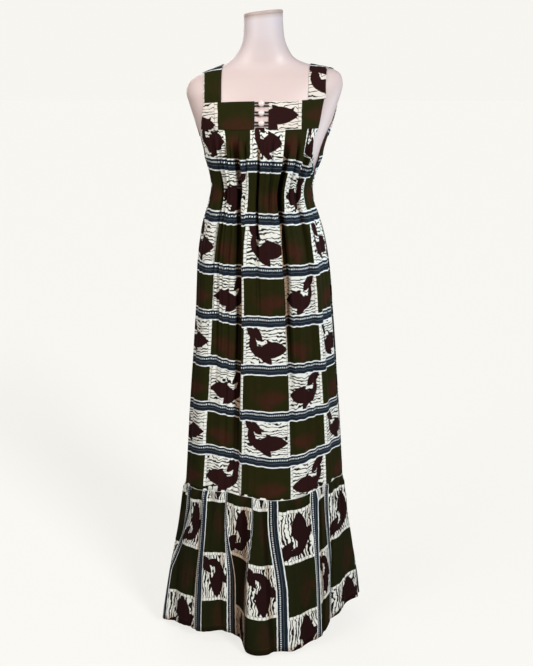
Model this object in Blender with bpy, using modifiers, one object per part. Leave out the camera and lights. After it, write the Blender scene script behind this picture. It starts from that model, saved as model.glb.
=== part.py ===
"""Sleeveless maxi dress on a limbless dress form.

A square yoke in two halves, two wide straps, a gathered skirt and a deep gathered ruffle,
worn by a torso on a pole and a round base. X runs to the viewer's right, the front faces -Y,
Z is up and the origin is the middle of the base's underside. Sizes are in metres.
"""

import math

import bmesh
import bpy
from mathutils import Matrix, Vector

# Driving heights
BASE_HEIGHT = 0.008
HEM = 0.012
RUFFLE_SEAM = 0.423
TORSO_BOTTOM = 0.880
YOKE_SEAM_BACK = 1.320
YOKE_SEAM_FRONT = 1.340
NECKLINE_BACK = 1.385
NECKLINE_FRONT = 1.404
NECK_BOTTOM = 1.530
NECK_TOP = 1.600

# Cloth
CLOTH = 0.0012
DOUBLE_CLOTH = 0.0016
SEAM_GAP = 0.0003
SIDE_GAP = 0.0003
FORM_CLEARANCE = 0.0009
HANG_CLEARANCE = 0.0020
SECTION_POWER = 2.0 / 2.2

# Yoke, straps and closure
SLIT_CENTRE = -0.0017
SLIT_HALF_WIDTH = 0.0163
BUTTON_HEIGHTS = (1.397, 1.376, 1.353)
BUTTON_RADIUS = 0.0075
BUTTON_FLATNESS = 0.66
LOOP_CORD = 0.0036
LOOP_HEIGHT = 0.0110
LOOP_END = 0.0022
BUTTON_DIP = 0.0006

# Stand
POLE_RADIUS = 0.014
BASE_RADIUS = 0.112
HUB_RADIUS = 0.032
HUB_HEIGHT = 0.030
CAP_HEIGHT = 0.008
CAP_SLANT = 0.108

# The viewer's right shoulder stands higher than the left: how far it is up at its outer end,
# fading out below the bust
LEAN_BOTTOM = 1.260
LEAN_TOP = 1.440
SHOULDER_RISE = 0.0108
SHOULDER_HALF_WIDTH = 0.1870
LEAN_FADE = 0.040

# Horizontal sections of the torso: height, half width, front depth, back depth and middle
FORM_SECTIONS = (
    (0.880, 0.1440, 0.096, 0.102, 0.0000),
    (0.950, 0.1530, 0.106, 0.110, 0.0000),
    (1.020, 0.1480, 0.103, 0.110, 0.0000),
    (1.100, 0.1340, 0.094, 0.098, 0.0000),
    (1.190, 0.1180, 0.082, 0.080, 0.0000),
    (1.222, 0.1235, 0.088, 0.081, 0.0000),
    (1.250, 0.1330, 0.098, 0.085, 0.0000),
    (1.275, 0.1410, 0.107, 0.089, 0.0000),
    (1.297, 0.1470, 0.111, 0.091, 0.0000),
    (1.340, 0.1610, 0.106, 0.096, 0.0010),
    (1.381, 0.1740, 0.093, 0.099, 0.0010),
    (1.409, 0.1830, 0.083, 0.097, 0.0020),
    (1.432, 0.1880, 0.074, 0.091, 0.0016),
    (1.455, 0.1815, 0.062, 0.080, 0.0016),
    (1.468, 0.1640, 0.052, 0.070, 0.0016),
    (1.477, 0.1340, 0.046, 0.062, 0.0020),
    (1.487, 0.1010, 0.043, 0.056, 0.0000),
    (1.500, 0.0760, 0.042, 0.051, -0.0010),
    (1.520, 0.0600, 0.042, 0.048, 0.0000),
    (1.545, 0.0500, 0.043, 0.046, 0.0000),
    (1.570, 0.0470, 0.043, 0.045, -0.0005),
    (1.600, 0.0460, 0.043, 0.044, -0.0010),
)

# Horizontal sections of the hanging cloth, which the torso carries where it is the wider:
# height, half width, front depth, back depth and middle
SKIRT_SECTIONS = (
    (0.400, 0.2080, 0.149, 0.149, 0.000),
    (0.500, 0.2010, 0.144, 0.145, 0.001),
    (0.600, 0.1940, 0.140, 0.141, 0.001),
    (0.700, 0.1860, 0.136, 0.137, 0.001),
    (0.800, 0.1780, 0.132, 0.133, 0.001),
    (0.900, 0.1700, 0.127, 0.129, 0.000),
    (0.960, 0.1665, 0.124, 0.125, -0.001),
    (1.020, 0.1610, 0.121, 0.120, -0.003),
    (1.080, 0.1510, 0.118, 0.113, -0.004),
    (1.130, 0.1380, 0.115, 0.103, -0.005),
    (1.165, 0.1270, 0.114, 0.094, -0.006),
    (1.195, 0.1220, 0.114, 0.089, -0.005),
    (1.222, 0.1260, 0.117, 0.089, -0.003),
    (1.250, 0.1350, 0.119, 0.091, -0.001),
    (1.275, 0.1430, 0.119, 0.093, 0.000),
    (1.300, 0.1430, 0.116, 0.090, 0.000),
    (1.325, 0.1430, 0.109, 0.088, 0.000),
)

# Horizontal sections of the ruffle: height, half width, front depth and back depth. The top
# row is the skirt's own section there
RUFFLE_SECTIONS = (
    (0.012, 0.2640, 0.191, 0.191),
    (0.060, 0.2590, 0.187, 0.187),
    (0.130, 0.2500, 0.181, 0.181),
    (0.200, 0.2400, 0.173, 0.173),
    (0.280, 0.2270, 0.164, 0.164),
    (0.340, 0.2180, 0.157, 0.157),
    (0.385, 0.2125, 0.153, 0.153),
    (0.410, 0.2095, 0.150, 0.150),
    (0.423, 0.2064, 0.1479, 0.1481),
)

# Long folds: angle from the front centre in degrees, half width in degrees, and how far the
# cloth stands out (+) or in (-) at the yoke, waist, hip, knee and ruffle seam in millimetres
FOLD_HEIGHTS = (1.325, 1.195, 1.000, 0.700, 0.423)
FRONT_FOLDS = (
    (-66.0, 8.0, 0.0, 2.0, 3.0, 3.0, 2.0),
    (-52.0, 8.0, 2.0, 4.0, 5.0, 6.0, 4.0),
    (-41.0, 4.5, -5.0, -9.0, -7.0, -6.0, -3.0),
    (-31.0, 5.0, 2.0, 2.0, -2.0, -4.0, -2.0),
    (-23.5, 4.5, -4.0, -14.0, -12.0, -9.0, -4.0),
    (-15.0, 5.5, 3.0, 5.0, 7.0, 7.0, 4.0),
    (-5.0, 4.0, -3.0, -8.0, -2.0, 0.0, 0.0),
    (5.0, 6.0, 3.0, 4.0, 4.0, 3.0, 2.0),
    (18.0, 4.5, -4.0, -13.0, -8.0, -2.0, 0.0),
    (29.0, 6.0, 3.0, 4.0, 5.0, 4.0, 2.0),
    (41.0, 4.5, -6.0, -10.0, -6.0, -2.0, 0.0),
    (52.0, 7.0, 2.0, 4.0, 7.0, 8.0, 5.0),
    (68.0, 7.0, 0.0, -2.0, -4.0, -6.0, -4.0),
)
BACK_FOLDS = (
    (112.0, 8.0, 0.0, 4.0, 6.0, 6.0, 4.0),
    (125.0, 5.5, -2.0, -7.0, -6.0, -5.0, -3.0),
    (140.0, 7.0, 2.0, 4.0, 6.0, 6.0, 4.0),
    (154.0, 5.0, -2.0, -6.0, -9.0, -8.0, -4.0),
    (168.0, 7.0, 2.0, 4.0, 5.0, 5.0, 3.0),
    (182.0, 5.0, -2.0, -7.0, -7.0, -6.0, -3.0),
    (197.0, 7.0, 2.0, 4.0, 6.0, 5.0, 3.0),
    (210.0, 5.0, -2.0, -6.0, -10.0, -8.0, -5.0),
    (223.0, 7.0, 2.0, 4.0, 6.0, 6.0, 4.0),
    (237.0, 5.5, -2.0, -7.0, -5.0, -4.0, -2.0),
    (250.0, 8.0, 0.0, 3.0, 5.0, 5.0, 3.0),
)
FOLD_REACH = 3.0
FREE_BELOW_SEAM = 0.050

# Gathers under a yoke seam: their depth and number, the puff below them, the angle they reach
# each way, and the distances below the seam over which each rises and fades
GATHER_DEPTH = 0.0042
GATHER_COUNT = 13
GATHER_PUFF = 0.0050
GATHER_SPAN = math.radians(58.0)
GATHER_EDGE = 0.70
FLAT_AT_SEAM = 0.004
GATHER_RISE = 0.022
GATHER_FADE_START = 0.05
GATHER_FADE = 0.16
PUFF_RISE = 0.050
PUFF_FADE_START = 0.06
PUFF_FADE = 0.10

# Side seams up to the underarms and armholes above them, in degrees from the front centre.
# The left armhole ends higher than the right one, as the dress hangs a little askew
LEFT_SEAM = ((0.400, -89.0), (1.000, -89.0), (1.150, -82.0), (1.230, -75.0), (1.290, -74.0))
RIGHT_SEAM = ((0.400, 89.0), (1.000, 89.0), (1.150, 84.0), (1.230, 77.0))
LEFT_FRONT_ARMHOLE = (
    (1.290, -74.0), (1.320, -72.0), (1.340, -64.5), (1.370, -56.0), (1.404, -48.5),
)
RIGHT_FRONT_ARMHOLE = (
    (1.230, 77.0), (1.243, 66.0), (1.262, 57.0), (1.286, 52.0), (1.310, 50.0),
    (1.340, 51.5), (1.404, 49.5),
)
LEFT_BACK_ARMHOLE = ((1.290, -74.0), (1.300, -83.0), (1.320, -91.0), (1.350, -95.0), (1.385, -99.0))
RIGHT_BACK_ARMHOLE = (
    (1.230, 77.0), (1.245, 71.5), (1.300, 70.0), (1.335, 74.0), (1.360, 86.0), (1.385, 98.0),
)
# The columns between the armholes hang straight, and those beside them take up the edges' curve
STRAIGHT_SPAN = 48.0
STRAIGHT_SHARE = 0.70

# Ruffle waves and the fine gathers under its seam. The falls are shares of the ruffle's height
WAVE_COUNT = 17
WAVE_FRONT_SHARE = 0.35
WAVE_DEPTH_HEM = 0.0115
WAVE_DEPTH_SEAM = 0.0015
WAVE_GROWTH = 0.8
WAVE_UNEVEN = 0.28
WAVE_RISE = 0.06
RUFFLE_GATHERS = 26
RUFFLE_GATHER_DEPTH = 0.0030
RUFFLE_GATHER_RISE = 0.05
RUFFLE_GATHER_FADE_START = 0.08
RUFFLE_GATHER_FADE = 0.30
SEAM_FOLLOW = 0.40

# The ruffle hangs uneven, folded deeply left of the front's middle and cut back and raised at
# the right: angle from the front centre in degrees, then how far the hem stands out, how far it
# is raised and how far the seam above it is raised, in millimetres
RUFFLE_FORM = (
    (-180.0, 0.0, 0.0, 0.0),
    (-120.0, 0.0, 0.0, 0.0),
    (-95.0, 6.0, 2.0, 0.0),
    (-80.0, 5.0, 11.0, 0.0),
    (-62.0, -22.0, 22.0, 6.0),
    (-47.0, -26.0, 22.0, 10.0),
    (-39.0, -30.0, 25.0, 13.0),
    (-27.0, -39.0, 32.0, 17.0),
    (-20.0, -52.0, 28.0, 18.0),
    (-15.5, -64.0, 14.0, 17.0),
    (-12.0, -56.0, 4.0, 15.0),
    (-9.5, -28.0, 3.0, 13.0),
    (-7.0, -2.0, 1.0, 11.0),
    (0.0, 0.0, 0.0, 5.0),
    (12.0, -12.0, 0.0, 2.0),
    (20.0, -21.0, 0.0, 4.0),
    (26.0, -29.0, 0.0, 8.0),
    (32.0, -33.0, 8.0, 14.0),
    (38.0, -36.0, 18.0, 20.0),
    (45.0, -37.0, 36.0, 26.0),
    (54.0, -43.0, 47.0, 32.0),
    (66.0, -42.0, 58.0, 31.0),
    (80.0, -20.0, 78.0, 24.0),
    (95.0, -4.0, 60.0, 14.0),
    (120.0, 0.0, 24.0, 4.0),
    (150.0, 0.0, 4.0, 0.0),
    (180.0, 0.0, 0.0, 0.0),
)
RUFFLE_FORM_GROWTH = 1.2
SKIRT_LIFT_TOP = 0.800

# Grid of each piece of cloth
FORM_SEGMENTS = 28
FRONT_YOKE_COLUMNS = 14
BACK_YOKE_COLUMNS = 36
YOKE_ROWS = 4
FRONT_SKIRT_COLUMNS = 62
BACK_SKIRT_COLUMNS = 44
RUFFLE_COLUMNS = 70
STRAP_COLUMNS = 5
STRAP_ROWS = 22

for old in list(bpy.data.objects):
    bpy.data.objects.remove(old, do_unlink=True)

parts = bpy.data.collections.new("maxi_dress_on_form")
bpy.context.scene.collection.children.link(parts)


def material(name, colour, roughness, metallic=0.0):
    """A Principled material of one plain colour."""
    finish = bpy.data.materials.new(name)
    finish.use_nodes = True
    shader = finish.node_tree.nodes["Principled BSDF"]
    shader.inputs["Base Color"].default_value = (*colour, 1.0)
    shader.inputs["Roughness"].default_value = roughness
    shader.inputs["Metallic"].default_value = metallic
    return finish


def keep(name, mesh, finish):
    """An object in the dress's collection, shaded smooth, with its material."""
    mesh.materials.append(finish)
    mesh.shade_smooth()
    mesh.set_sharp_from_angle(angle=math.radians(50.0))
    body = bpy.data.objects.new(name, mesh)
    parts.objects.link(body)
    return body


def smooth(table, height, column):
    """A table's column at a height, on a curve through its rows."""
    rows = table
    if height <= rows[0][0]:
        return rows[0][column]
    if height >= rows[-1][0]:
        return rows[-1][column]
    i = max(k for k in range(len(rows) - 1) if rows[k][0] <= height)

    def slope(k):
        low = max(k - 1, 0)
        high = min(k + 1, len(rows) - 1)
        return (rows[high][column] - rows[low][column]) / (rows[high][0] - rows[low][0])

    span = rows[i + 1][0] - rows[i][0]
    t = (height - rows[i][0]) / span
    start = (2 * t**3 - 3 * t**2 + 1) * rows[i][column] + (t**3 - 2 * t**2 + t) * span * slope(i)
    end = (3 * t**2 - 2 * t**3) * rows[i + 1][column] + (t**3 - t**2) * span * slope(i + 1)
    return start + end


def edge_angle(seam, armhole, height):
    """The angle of a panel's edge: on its side seam up to the underarm, then on its armhole."""
    table = seam if height <= seam[-1][0] else armhole
    return math.radians(smooth(table, height, 1))


def ease(value):
    """A smooth step from 0 to 1."""
    t = min(max(value, 0.0), 1.0)
    return t * t * (3.0 - 2.0 * t)


def leaned(x, y, height):
    """A point of the upright shape, raised or lowered where the shoulders and neck top slant."""
    shoulders = SHOULDER_RISE * ease((height - LEAN_BOTTOM) / (LEAN_TOP - LEAN_BOTTOM))
    shoulders *= 1.0 - ease((height - NECK_BOTTOM) / LEAN_FADE)
    across = x / SHOULDER_HALF_WIDTH
    neck = CAP_SLANT * ease((height - NECK_BOTTOM) / (NECK_TOP - NECK_BOTTOM))
    return Vector((x, y, height + shoulders * across * abs(across) + neck * x))


def across_angle(x, section):
    """The angle where a section's oval has a distance from the middle."""
    share = min(abs(x - section[3]) / section[0], 1.0) ** (1.0 / SECTION_POWER)
    return math.copysign(math.asin(share), x - section[3])


def ring_point(section, angle, out=0.0):
    """Where a section's oval lies at an angle from the front centre, moved out by a distance."""
    half_width, front, back, centre = section
    s = math.sin(angle)
    c = math.cos(angle)
    depth = front if c > 0.0 else back
    x = half_width * math.copysign(abs(s) ** SECTION_POWER, s)
    y = -depth * math.copysign(abs(c) ** SECTION_POWER, c)
    normal = Vector((
        math.copysign(abs(s) ** (2.0 - SECTION_POWER), s) / half_width,
        -math.copysign(abs(c) ** (2.0 - SECTION_POWER), c) / depth,
    )).normalized()
    return centre + x + normal.x * out, y + normal.y * out


def form_section(height):
    """The torso's half width, front depth, back depth and middle."""
    return tuple(smooth(FORM_SECTIONS, height, k) for k in (1, 2, 3, 4))


def worn_section(height):
    """The bodice's and skirt's oval: off the torso down to the bust, hanging free below it."""
    *torso, torso_centre = form_section(height)
    carried = tuple(size + FORM_CLEARANCE for size in torso)
    if height >= SKIRT_SECTIONS[-1][0]:
        return carried + (torso_centre,)
    *hanging, centre = (smooth(SKIRT_SECTIONS, height, k) for k in (1, 2, 3, 4))
    if height < TORSO_BOTTOM:
        return (*hanging, centre)
    return tuple(max(pair) for pair in zip(hanging, carried)) + (centre + torso_centre,)


def ruffle_section(height):
    """The ruffle's oval before its waves."""
    return tuple(smooth(RUFFLE_SECTIONS, height, k) for k in (1, 2, 3)) + (0.0,)


def fold_out(folds, angle, height):
    """How far the long folds move the cloth at an angle and a height."""
    out = 0.0
    for row in folds:
        away = (math.degrees(angle) - row[0]) / row[1]
        if abs(away) > FOLD_REACH:
            continue
        levels = tuple(zip(reversed(FOLD_HEIGHTS), reversed(row[2:])))
        out += 0.001 * smooth(levels, height, 1) * math.exp(-away * away)
    return out


def gather_out(turn, below):
    """The puff and small gathers under a yoke seam, gone at the armholes and the waist.

    turn runs from -1 to 1 along the seam and below is the distance down from it.
    """
    edge = 1.0 - ease((abs(turn) - GATHER_EDGE) / (1.0 - GATHER_EDGE))
    phase = math.pi * GATHER_COUNT * (turn + 0.035 * math.sin(5.0 * turn + 1.0))
    gathers = GATHER_DEPTH * ease((below - FLAT_AT_SEAM) / GATHER_RISE)
    gathers *= 1.0 - ease((below - GATHER_FADE_START) / GATHER_FADE)
    puff = GATHER_PUFF * ease((below - FLAT_AT_SEAM) / PUFF_RISE)
    puff *= 1.0 - ease((below - PUFF_FADE_START) / PUFF_FADE)
    return edge * (gathers * math.cos(phase) + puff)


def formed(angle, column):
    """A column of the ruffle's uneven form at an angle."""
    return 0.001 * smooth(RUFFLE_FORM, math.degrees(math.remainder(angle, math.tau)), column)


def wave_out(angle, drop):
    """The ruffle's waves, deep at the hem, and its fine gathers under the seam."""
    deep = WAVE_DEPTH_SEAM + (WAVE_DEPTH_HEM - WAVE_DEPTH_SEAM) * drop**WAVE_GROWTH
    phase = WAVE_COUNT * angle + 0.9 * math.sin(2.0 * angle + 0.4) + 0.5 * math.sin(5.0 * angle)
    uneven = 1.0 + WAVE_UNEVEN * math.sin(3.0 * angle + 0.7)
    uneven *= WAVE_FRONT_SHARE + (1.0 - WAVE_FRONT_SHARE) * ease(0.5 - math.cos(angle))
    gathers = RUFFLE_GATHER_DEPTH * ease(drop / RUFFLE_GATHER_RISE)
    gathers *= 1.0 - ease((drop - RUFFLE_GATHER_FADE_START) / RUFFLE_GATHER_FADE)
    fine = gathers * math.cos(RUFFLE_GATHERS * angle + 0.6)
    return ease(drop / WAVE_RISE) * deep * uneven * math.cos(phase) + fine


def cloth_sheet(name, point, columns, rows, thickness, finish):
    """A wall of cloth over a grid of points, thickened outwards."""
    shape = bmesh.new()
    grid = [[shape.verts.new(point(i / columns, j)) for i in range(columns + 1)] for j in rows]
    for lower, upper in zip(grid[1:], grid[:-1]):
        for i in range(columns):
            shape.faces.new((lower[i], lower[i + 1], upper[i + 1], upper[i]))
    mesh = bpy.data.meshes.new(name)
    shape.to_mesh(mesh)
    shape.free()
    body = keep(name, mesh, finish)
    wall = body.modifiers.new("wall", "SOLIDIFY")
    wall.thickness = thickness
    wall.offset = 1.0
    wall.use_even_offset = True
    return body


def form_value(x, y, height):
    """One on the torso's surface, more outside it."""
    half_width, front, back, centre = form_section(height)
    depth = front if y < 0.0 else back
    power = 2.0 / SECTION_POWER
    return (abs(x - centre) / half_width) ** power + (abs(y) / depth) ** power


def room(section, angle, height):
    """How far inwards from a section the torso's clearance begins, nothing where it is on it."""
    near = -0.010
    far = 0.040
    for _ in range(16):
        middle = (near + far) / 2.0
        x, y = ring_point(section, angle, -middle - FORM_CLEARANCE)
        if height < TORSO_BOTTOM or form_value(x, y, height) > 1.0:
            near = middle
        else:
            far = middle
    return near


def closed_loft(name, rings, finish):
    """A solid through closed rings of points, from the lowest up, with flat ends."""
    shape = bmesh.new()
    loops = [[shape.verts.new(point) for point in ring] for ring in rings]
    for lower, upper in zip(loops[:-1], loops[1:]):
        for i in range(len(lower)):
            j = (i + 1) % len(lower)
            shape.faces.new((lower[i], lower[j], upper[j], upper[i]))
    shape.faces.new(list(reversed(loops[0])))
    shape.faces.new(loops[-1])
    mesh = bpy.data.meshes.new(name)
    shape.to_mesh(mesh)
    shape.free()
    return keep(name, mesh, finish)


def disc(name, profile, finish, segments=32):
    """A turned solid from a profile of (radius, height) points, top to bottom on its outside."""
    mesh = bpy.data.meshes.new(name)
    points = [(radius, 0.0, height) for radius, height in profile]
    mesh.from_pydata(points, [(k, k + 1) for k in range(len(points) - 1)], [])
    body = keep(name, mesh, finish)
    turn = body.modifiers.new("turn", "SCREW")
    turn.steps = segments
    turn.render_steps = segments
    turn.use_merge_vertices = True
    turn.merge_threshold = 0.0001
    return body


cotton = material("print_cotton", (0.22, 0.22, 0.17), 0.85)
shell = material("form_shell", (0.83, 0.73, 0.72), 0.45)
steel = material("stand_steel", (0.60, 0.60, 0.60), 0.35, 1.0)
pearl = material("button_pearl", (0.85, 0.74, 0.70), 0.30)
cord = material("loop_cord", (0.050, 0.020, 0.016), 0.80)

# Stand: a flat round base with a hub, and a pole up into the torso
disc(
    "stand_base",
    (
        (0.0, BASE_HEIGHT + HUB_HEIGHT),
        (HUB_RADIUS * 0.75, BASE_HEIGHT + HUB_HEIGHT),
        (HUB_RADIUS, BASE_HEIGHT + HUB_HEIGHT * 0.7),
        (HUB_RADIUS, BASE_HEIGHT),
        (BASE_RADIUS - 0.003, BASE_HEIGHT),
        (BASE_RADIUS, BASE_HEIGHT - 0.003),
        (BASE_RADIUS, 0.0),
        (0.0, 0.0),
    ),
    steel,
)
pole_bottom = BASE_HEIGHT + HUB_HEIGHT + SEAM_GAP
pole_top = TORSO_BOTTOM - SEAM_GAP
pole_mesh = bpy.data.meshes.new("stand_pole")
pole_shape = bmesh.new()
bmesh.ops.create_cone(
    pole_shape,
    cap_ends=True,
    segments=24,
    radius1=POLE_RADIUS,
    radius2=POLE_RADIUS,
    depth=pole_top - pole_bottom,
    matrix=Matrix.Translation((0.0, 0.0, (pole_top + pole_bottom) / 2.0)),
)
pole_shape.to_mesh(pole_mesh)
pole_shape.free()
keep("stand_pole", pole_mesh, steel)

# Torso: shoulders, chest, waist and hips in one smooth shell, with its neck
form_heights = []
for low, high in zip(FORM_SECTIONS[:-1], FORM_SECTIONS[1:]):
    steps = math.ceil(max((high[0] - low[0]) / 0.040, abs(high[1] - low[1]) / 0.014))
    form_heights += [low[0] + (high[0] - low[0]) * k / steps for k in range(steps)]
form_heights.append(FORM_SECTIONS[-1][0])
closed_loft(
    "form_torso",
    [
        [
            leaned(*ring_point(form_section(height), math.tau * k / FORM_SEGMENTS), height)
            for k in range(FORM_SEGMENTS)
        ]
        for height in form_heights
    ],
    shell,
)

# Neck cap: a thin slanted disc on the neck
cap_profile = ((1.010, 0.0), (1.010, 0.62), (0.88, 1.0))
cap_rings = []
for share, rise in cap_profile:
    ring = []
    for k in range(FORM_SEGMENTS):
        x, y = ring_point(form_section(NECK_TOP), math.tau * k / FORM_SEGMENTS)
        spot = leaned(x * share, y * share, NECK_TOP)
        ring.append(spot + Vector((0.0, 0.0, SEAM_GAP + CAP_HEIGHT * rise)))
    cap_rings.append(ring)
closed_loft("form_neck_cap", cap_rings, shell)


def spaced(low, high, count):
    """Even heights from the top down."""
    return [high + (low - high) * k / count for k in range(count + 1)]


def yoke_point(slit, armhole):
    """A point of a yoke half between its slit edge and its armhole edge."""

    def point(u, height):
        section = worn_section(height)
        side = math.radians(smooth(armhole, height, 1))
        start, end = sorted((across_angle(slit, section), side))
        return leaned(*ring_point(section, start + (end - start) * u), height)

    return point


# Front yoke: two halves either side of the centre slit
front_yoke_rows = spaced(YOKE_SEAM_FRONT, NECKLINE_FRONT, YOKE_ROWS)
for name, slit, armhole in (
    ("yoke_front_left", SLIT_CENTRE - SLIT_HALF_WIDTH, LEFT_FRONT_ARMHOLE),
    ("yoke_front_right", SLIT_CENTRE + SLIT_HALF_WIDTH, RIGHT_FRONT_ARMHOLE),
):
    cloth_sheet(
        name,
        yoke_point(slit, armhole),
        FRONT_YOKE_COLUMNS,
        front_yoke_rows,
        DOUBLE_CLOTH,
        cotton,
    )


def panel_angle(left, right, u, middle):
    """The angle of a panel's column: straight down in the middle, spread to the edges beside."""
    span = math.radians(STRAIGHT_SPAN)
    side = (1.0 - STRAIGHT_SHARE) / 2.0
    if u < side:
        return left + (middle - span - left) * u / side
    if u > 1.0 - side:
        return right - (right - middle - span) * (1.0 - u) / side
    return middle - span + 2.0 * span * (u - side) / STRAIGHT_SHARE


def panel_point(left_edge, right_edge, folds, seam, middle):
    """A point of a skirt panel between its two edges, each a function of the height."""

    def point(u, height):
        left = left_edge(height)
        right = right_edge(height)
        section = worn_section(height)
        gap = SIDE_GAP / section[0]
        angle = panel_angle(left + gap, right - gap, u, middle)
        free = ease((seam - height - FLAT_AT_SEAM) / FREE_BELOW_SEAM)
        out = fold_out(folds, angle, height) * free
        out += gather_out((angle - middle) / GATHER_SPAN, seam - height)
        out = max(out, (HANG_CLEARANCE - FORM_CLEARANCE) * free - room(section, angle, height))
        lift = ease((SKIRT_LIFT_TOP - height) / (SKIRT_LIFT_TOP - RUFFLE_SEAM))
        return leaned(*ring_point(section, angle, out), height + formed(angle, 3) * lift)

    return point


def back_start(height):
    """The back's edge at the viewer's right."""
    return edge_angle(RIGHT_SEAM, RIGHT_BACK_ARMHOLE, height)


def back_end(height):
    """The back's edge at the viewer's left, a full turn on."""
    return math.tau + edge_angle(LEFT_SEAM, LEFT_BACK_ARMHOLE, height)


def back_yoke_point(u, height):
    """A point of the back yoke."""
    angle = back_start(height) + (back_end(height) - back_start(height)) * u
    return leaned(*ring_point(worn_section(height), angle, SEAM_GAP), height)


# Back yoke, in one piece
back_yoke_rows = spaced(YOKE_SEAM_BACK, NECKLINE_BACK, YOKE_ROWS)
cloth_sheet(
    "yoke_back",
    back_yoke_point,
    BACK_YOKE_COLUMNS,
    back_yoke_rows,
    DOUBLE_CLOTH,
    cotton,
)

# Skirt: front and back panels, gathered under the yokes
SKIRT_HEIGHTS = (
    1.305, 1.290, 1.270, 1.250, 1.230, 1.205, 1.175, 1.130, 1.050, 0.930, 0.770, 0.600,
    RUFFLE_SEAM + SEAM_GAP,
)
SEAM_ALLOWANCE = 0.006
front_top = YOKE_SEAM_FRONT - 2 * SEAM_GAP
back_top = YOKE_SEAM_BACK - 2 * SEAM_GAP
front_second = (front_top - SEAM_ALLOWANCE + SKIRT_HEIGHTS[0]) / 2.0
front_rows = (front_top, front_top - SEAM_ALLOWANCE, front_second) + SKIRT_HEIGHTS
back_rows = (back_top, back_top - SEAM_ALLOWANCE) + SKIRT_HEIGHTS
cloth_sheet(
    "skirt_front",
    panel_point(
        lambda height: edge_angle(LEFT_SEAM, LEFT_FRONT_ARMHOLE, height),
        lambda height: edge_angle(RIGHT_SEAM, RIGHT_FRONT_ARMHOLE, height),
        FRONT_FOLDS,
        YOKE_SEAM_FRONT,
        0.0,
    ),
    FRONT_SKIRT_COLUMNS,
    front_rows,
    CLOTH,
    cotton,
)
cloth_sheet(
    "skirt_back",
    panel_point(back_start, back_end, BACK_FOLDS, YOKE_SEAM_BACK, math.pi),
    BACK_SKIRT_COLUMNS,
    back_rows,
    CLOTH,
    cotton,
)


def ruffle_point(start, end, folds):
    """A point of a ruffle half between two angles, whose top follows the skirt's folds."""

    def point(u, height):
        section = ruffle_section(height)
        gap = SIDE_GAP / section[0]
        angle = start + gap + (end - start - 2.0 * gap) * u
        drop = (RUFFLE_SEAM - height) / (RUFFLE_SEAM - HEM)
        follow = 1.0 - ease(drop / SEAM_FOLLOW)
        out = wave_out(angle, drop) + follow * fold_out(folds, angle, RUFFLE_SEAM)
        out += formed(angle, 1) * max(drop, 0.0) ** RUFFLE_FORM_GROWTH
        lift = formed(angle, 2) * drop + formed(angle, 3) * (1.0 - drop)
        return leaned(*ring_point(section, angle, out), height + lift)

    return point


# Ruffle: a deep gathered strip in two halves
ruffle_rows = (RUFFLE_SEAM - SEAM_GAP, 0.405, 0.385, 0.350, 0.270, 0.160, HEM)
side_seam = math.radians(89.0)
for name, start, end, folds in (
    ("ruffle_front", -side_seam, side_seam, FRONT_FOLDS),
    ("ruffle_back", side_seam, math.tau - side_seam, BACK_FOLDS),
):
    half = ruffle_point(start, end, folds)
    cloth_sheet(name, half, RUFFLE_COLUMNS, ruffle_rows, CLOTH, cotton)


def shoulder_top(x):
    """The height where the shoulder's ridge crosses a distance from the middle."""
    low = FORM_SECTIONS[10][0]
    high = NECK_TOP
    for _ in range(30):
        middle = (low + high) / 2.0
        if form_value(x, 0.0, middle) < 1.0:
            low = middle
        else:
            high = middle
    return low


def over_shoulder(x, along, front_end, back_end, out):
    """A point that goes from the front, over the shoulder and down the back, off the torso."""
    top = shoulder_top(x)
    end = front_end if along < 0.5 else back_end
    height = end + (top - end) * math.sin(math.pi * along)
    _, front, back, _ = form_section(height)
    inside = max(1.0 - form_value(x, 0.0, height), 0.0) ** (SECTION_POWER / 2.0)
    y = -front * inside if along < 0.5 else back * inside
    step = 0.0004
    normal = Vector((
        form_value(x + step, y, height) - form_value(x - step, y, height),
        form_value(x, y + step, height) - form_value(x, y - step, height),
        form_value(x, y, height + step) - form_value(x, y, height - step),
    )).normalized()
    spot = Vector((x, y, height)) + normal * out
    return leaned(spot.x, spot.y, spot.z)


# Straps: two wide bands from the front yoke over the shoulders to the back yoke. Each row is
# how far along, then the left inner, left outer, right inner and right outer edge
STRAP_EDGES = (
    (0.00, 0.0970, 0.1390, 0.1060, 0.1470),
    (0.25, 0.0975, 0.1400, 0.1080, 0.1480),
    (0.45, 0.0970, 0.1430, 0.1110, 0.1540),
    (0.55, 0.0960, 0.1480, 0.1110, 0.1660),
    (0.75, 0.0950, 0.1540, 0.1050, 0.1650),
    (1.00, 0.0920, 0.1560, 0.0960, 0.1610),
)


def strap_point(side):
    """A point of a strap across its width."""

    def point(u, along):
        column = 1 if side < 0.0 else 3
        inner = smooth(STRAP_EDGES, along, column)
        outer = smooth(STRAP_EDGES, along, column + 1)
        x = side * (inner + (outer - inner) * (u if side > 0.0 else 1.0 - u))
        front_end = NECKLINE_FRONT + 2 * SEAM_GAP
        back_end = NECKLINE_BACK + 2 * SEAM_GAP
        return over_shoulder(x, along, front_end, back_end, FORM_CLEARANCE)

    return point


for name, side in (("strap_left", -1.0), ("strap_right", 1.0)):
    strap_rows = [1.0 - k / STRAP_ROWS for k in range(STRAP_ROWS + 1)]
    cloth_sheet(name, strap_point(side), STRAP_COLUMNS, strap_rows, DOUBLE_CLOTH, cotton)


def chest_frame(height):
    """The point, outward direction and upward direction on the chest in the slit."""
    step = 0.002
    low = leaned(*ring_point(worn_section(height - step), 0.0), height - step)
    high = leaned(*ring_point(worn_section(height + step), 0.0), height + step)
    up = (high - low).normalized()
    out = Vector((1.0, 0.0, 0.0)).cross(up).normalized()
    middle = (low + high) / 2.0
    return Vector((SLIT_CENTRE, middle.y, middle.z)), out, up


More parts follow.
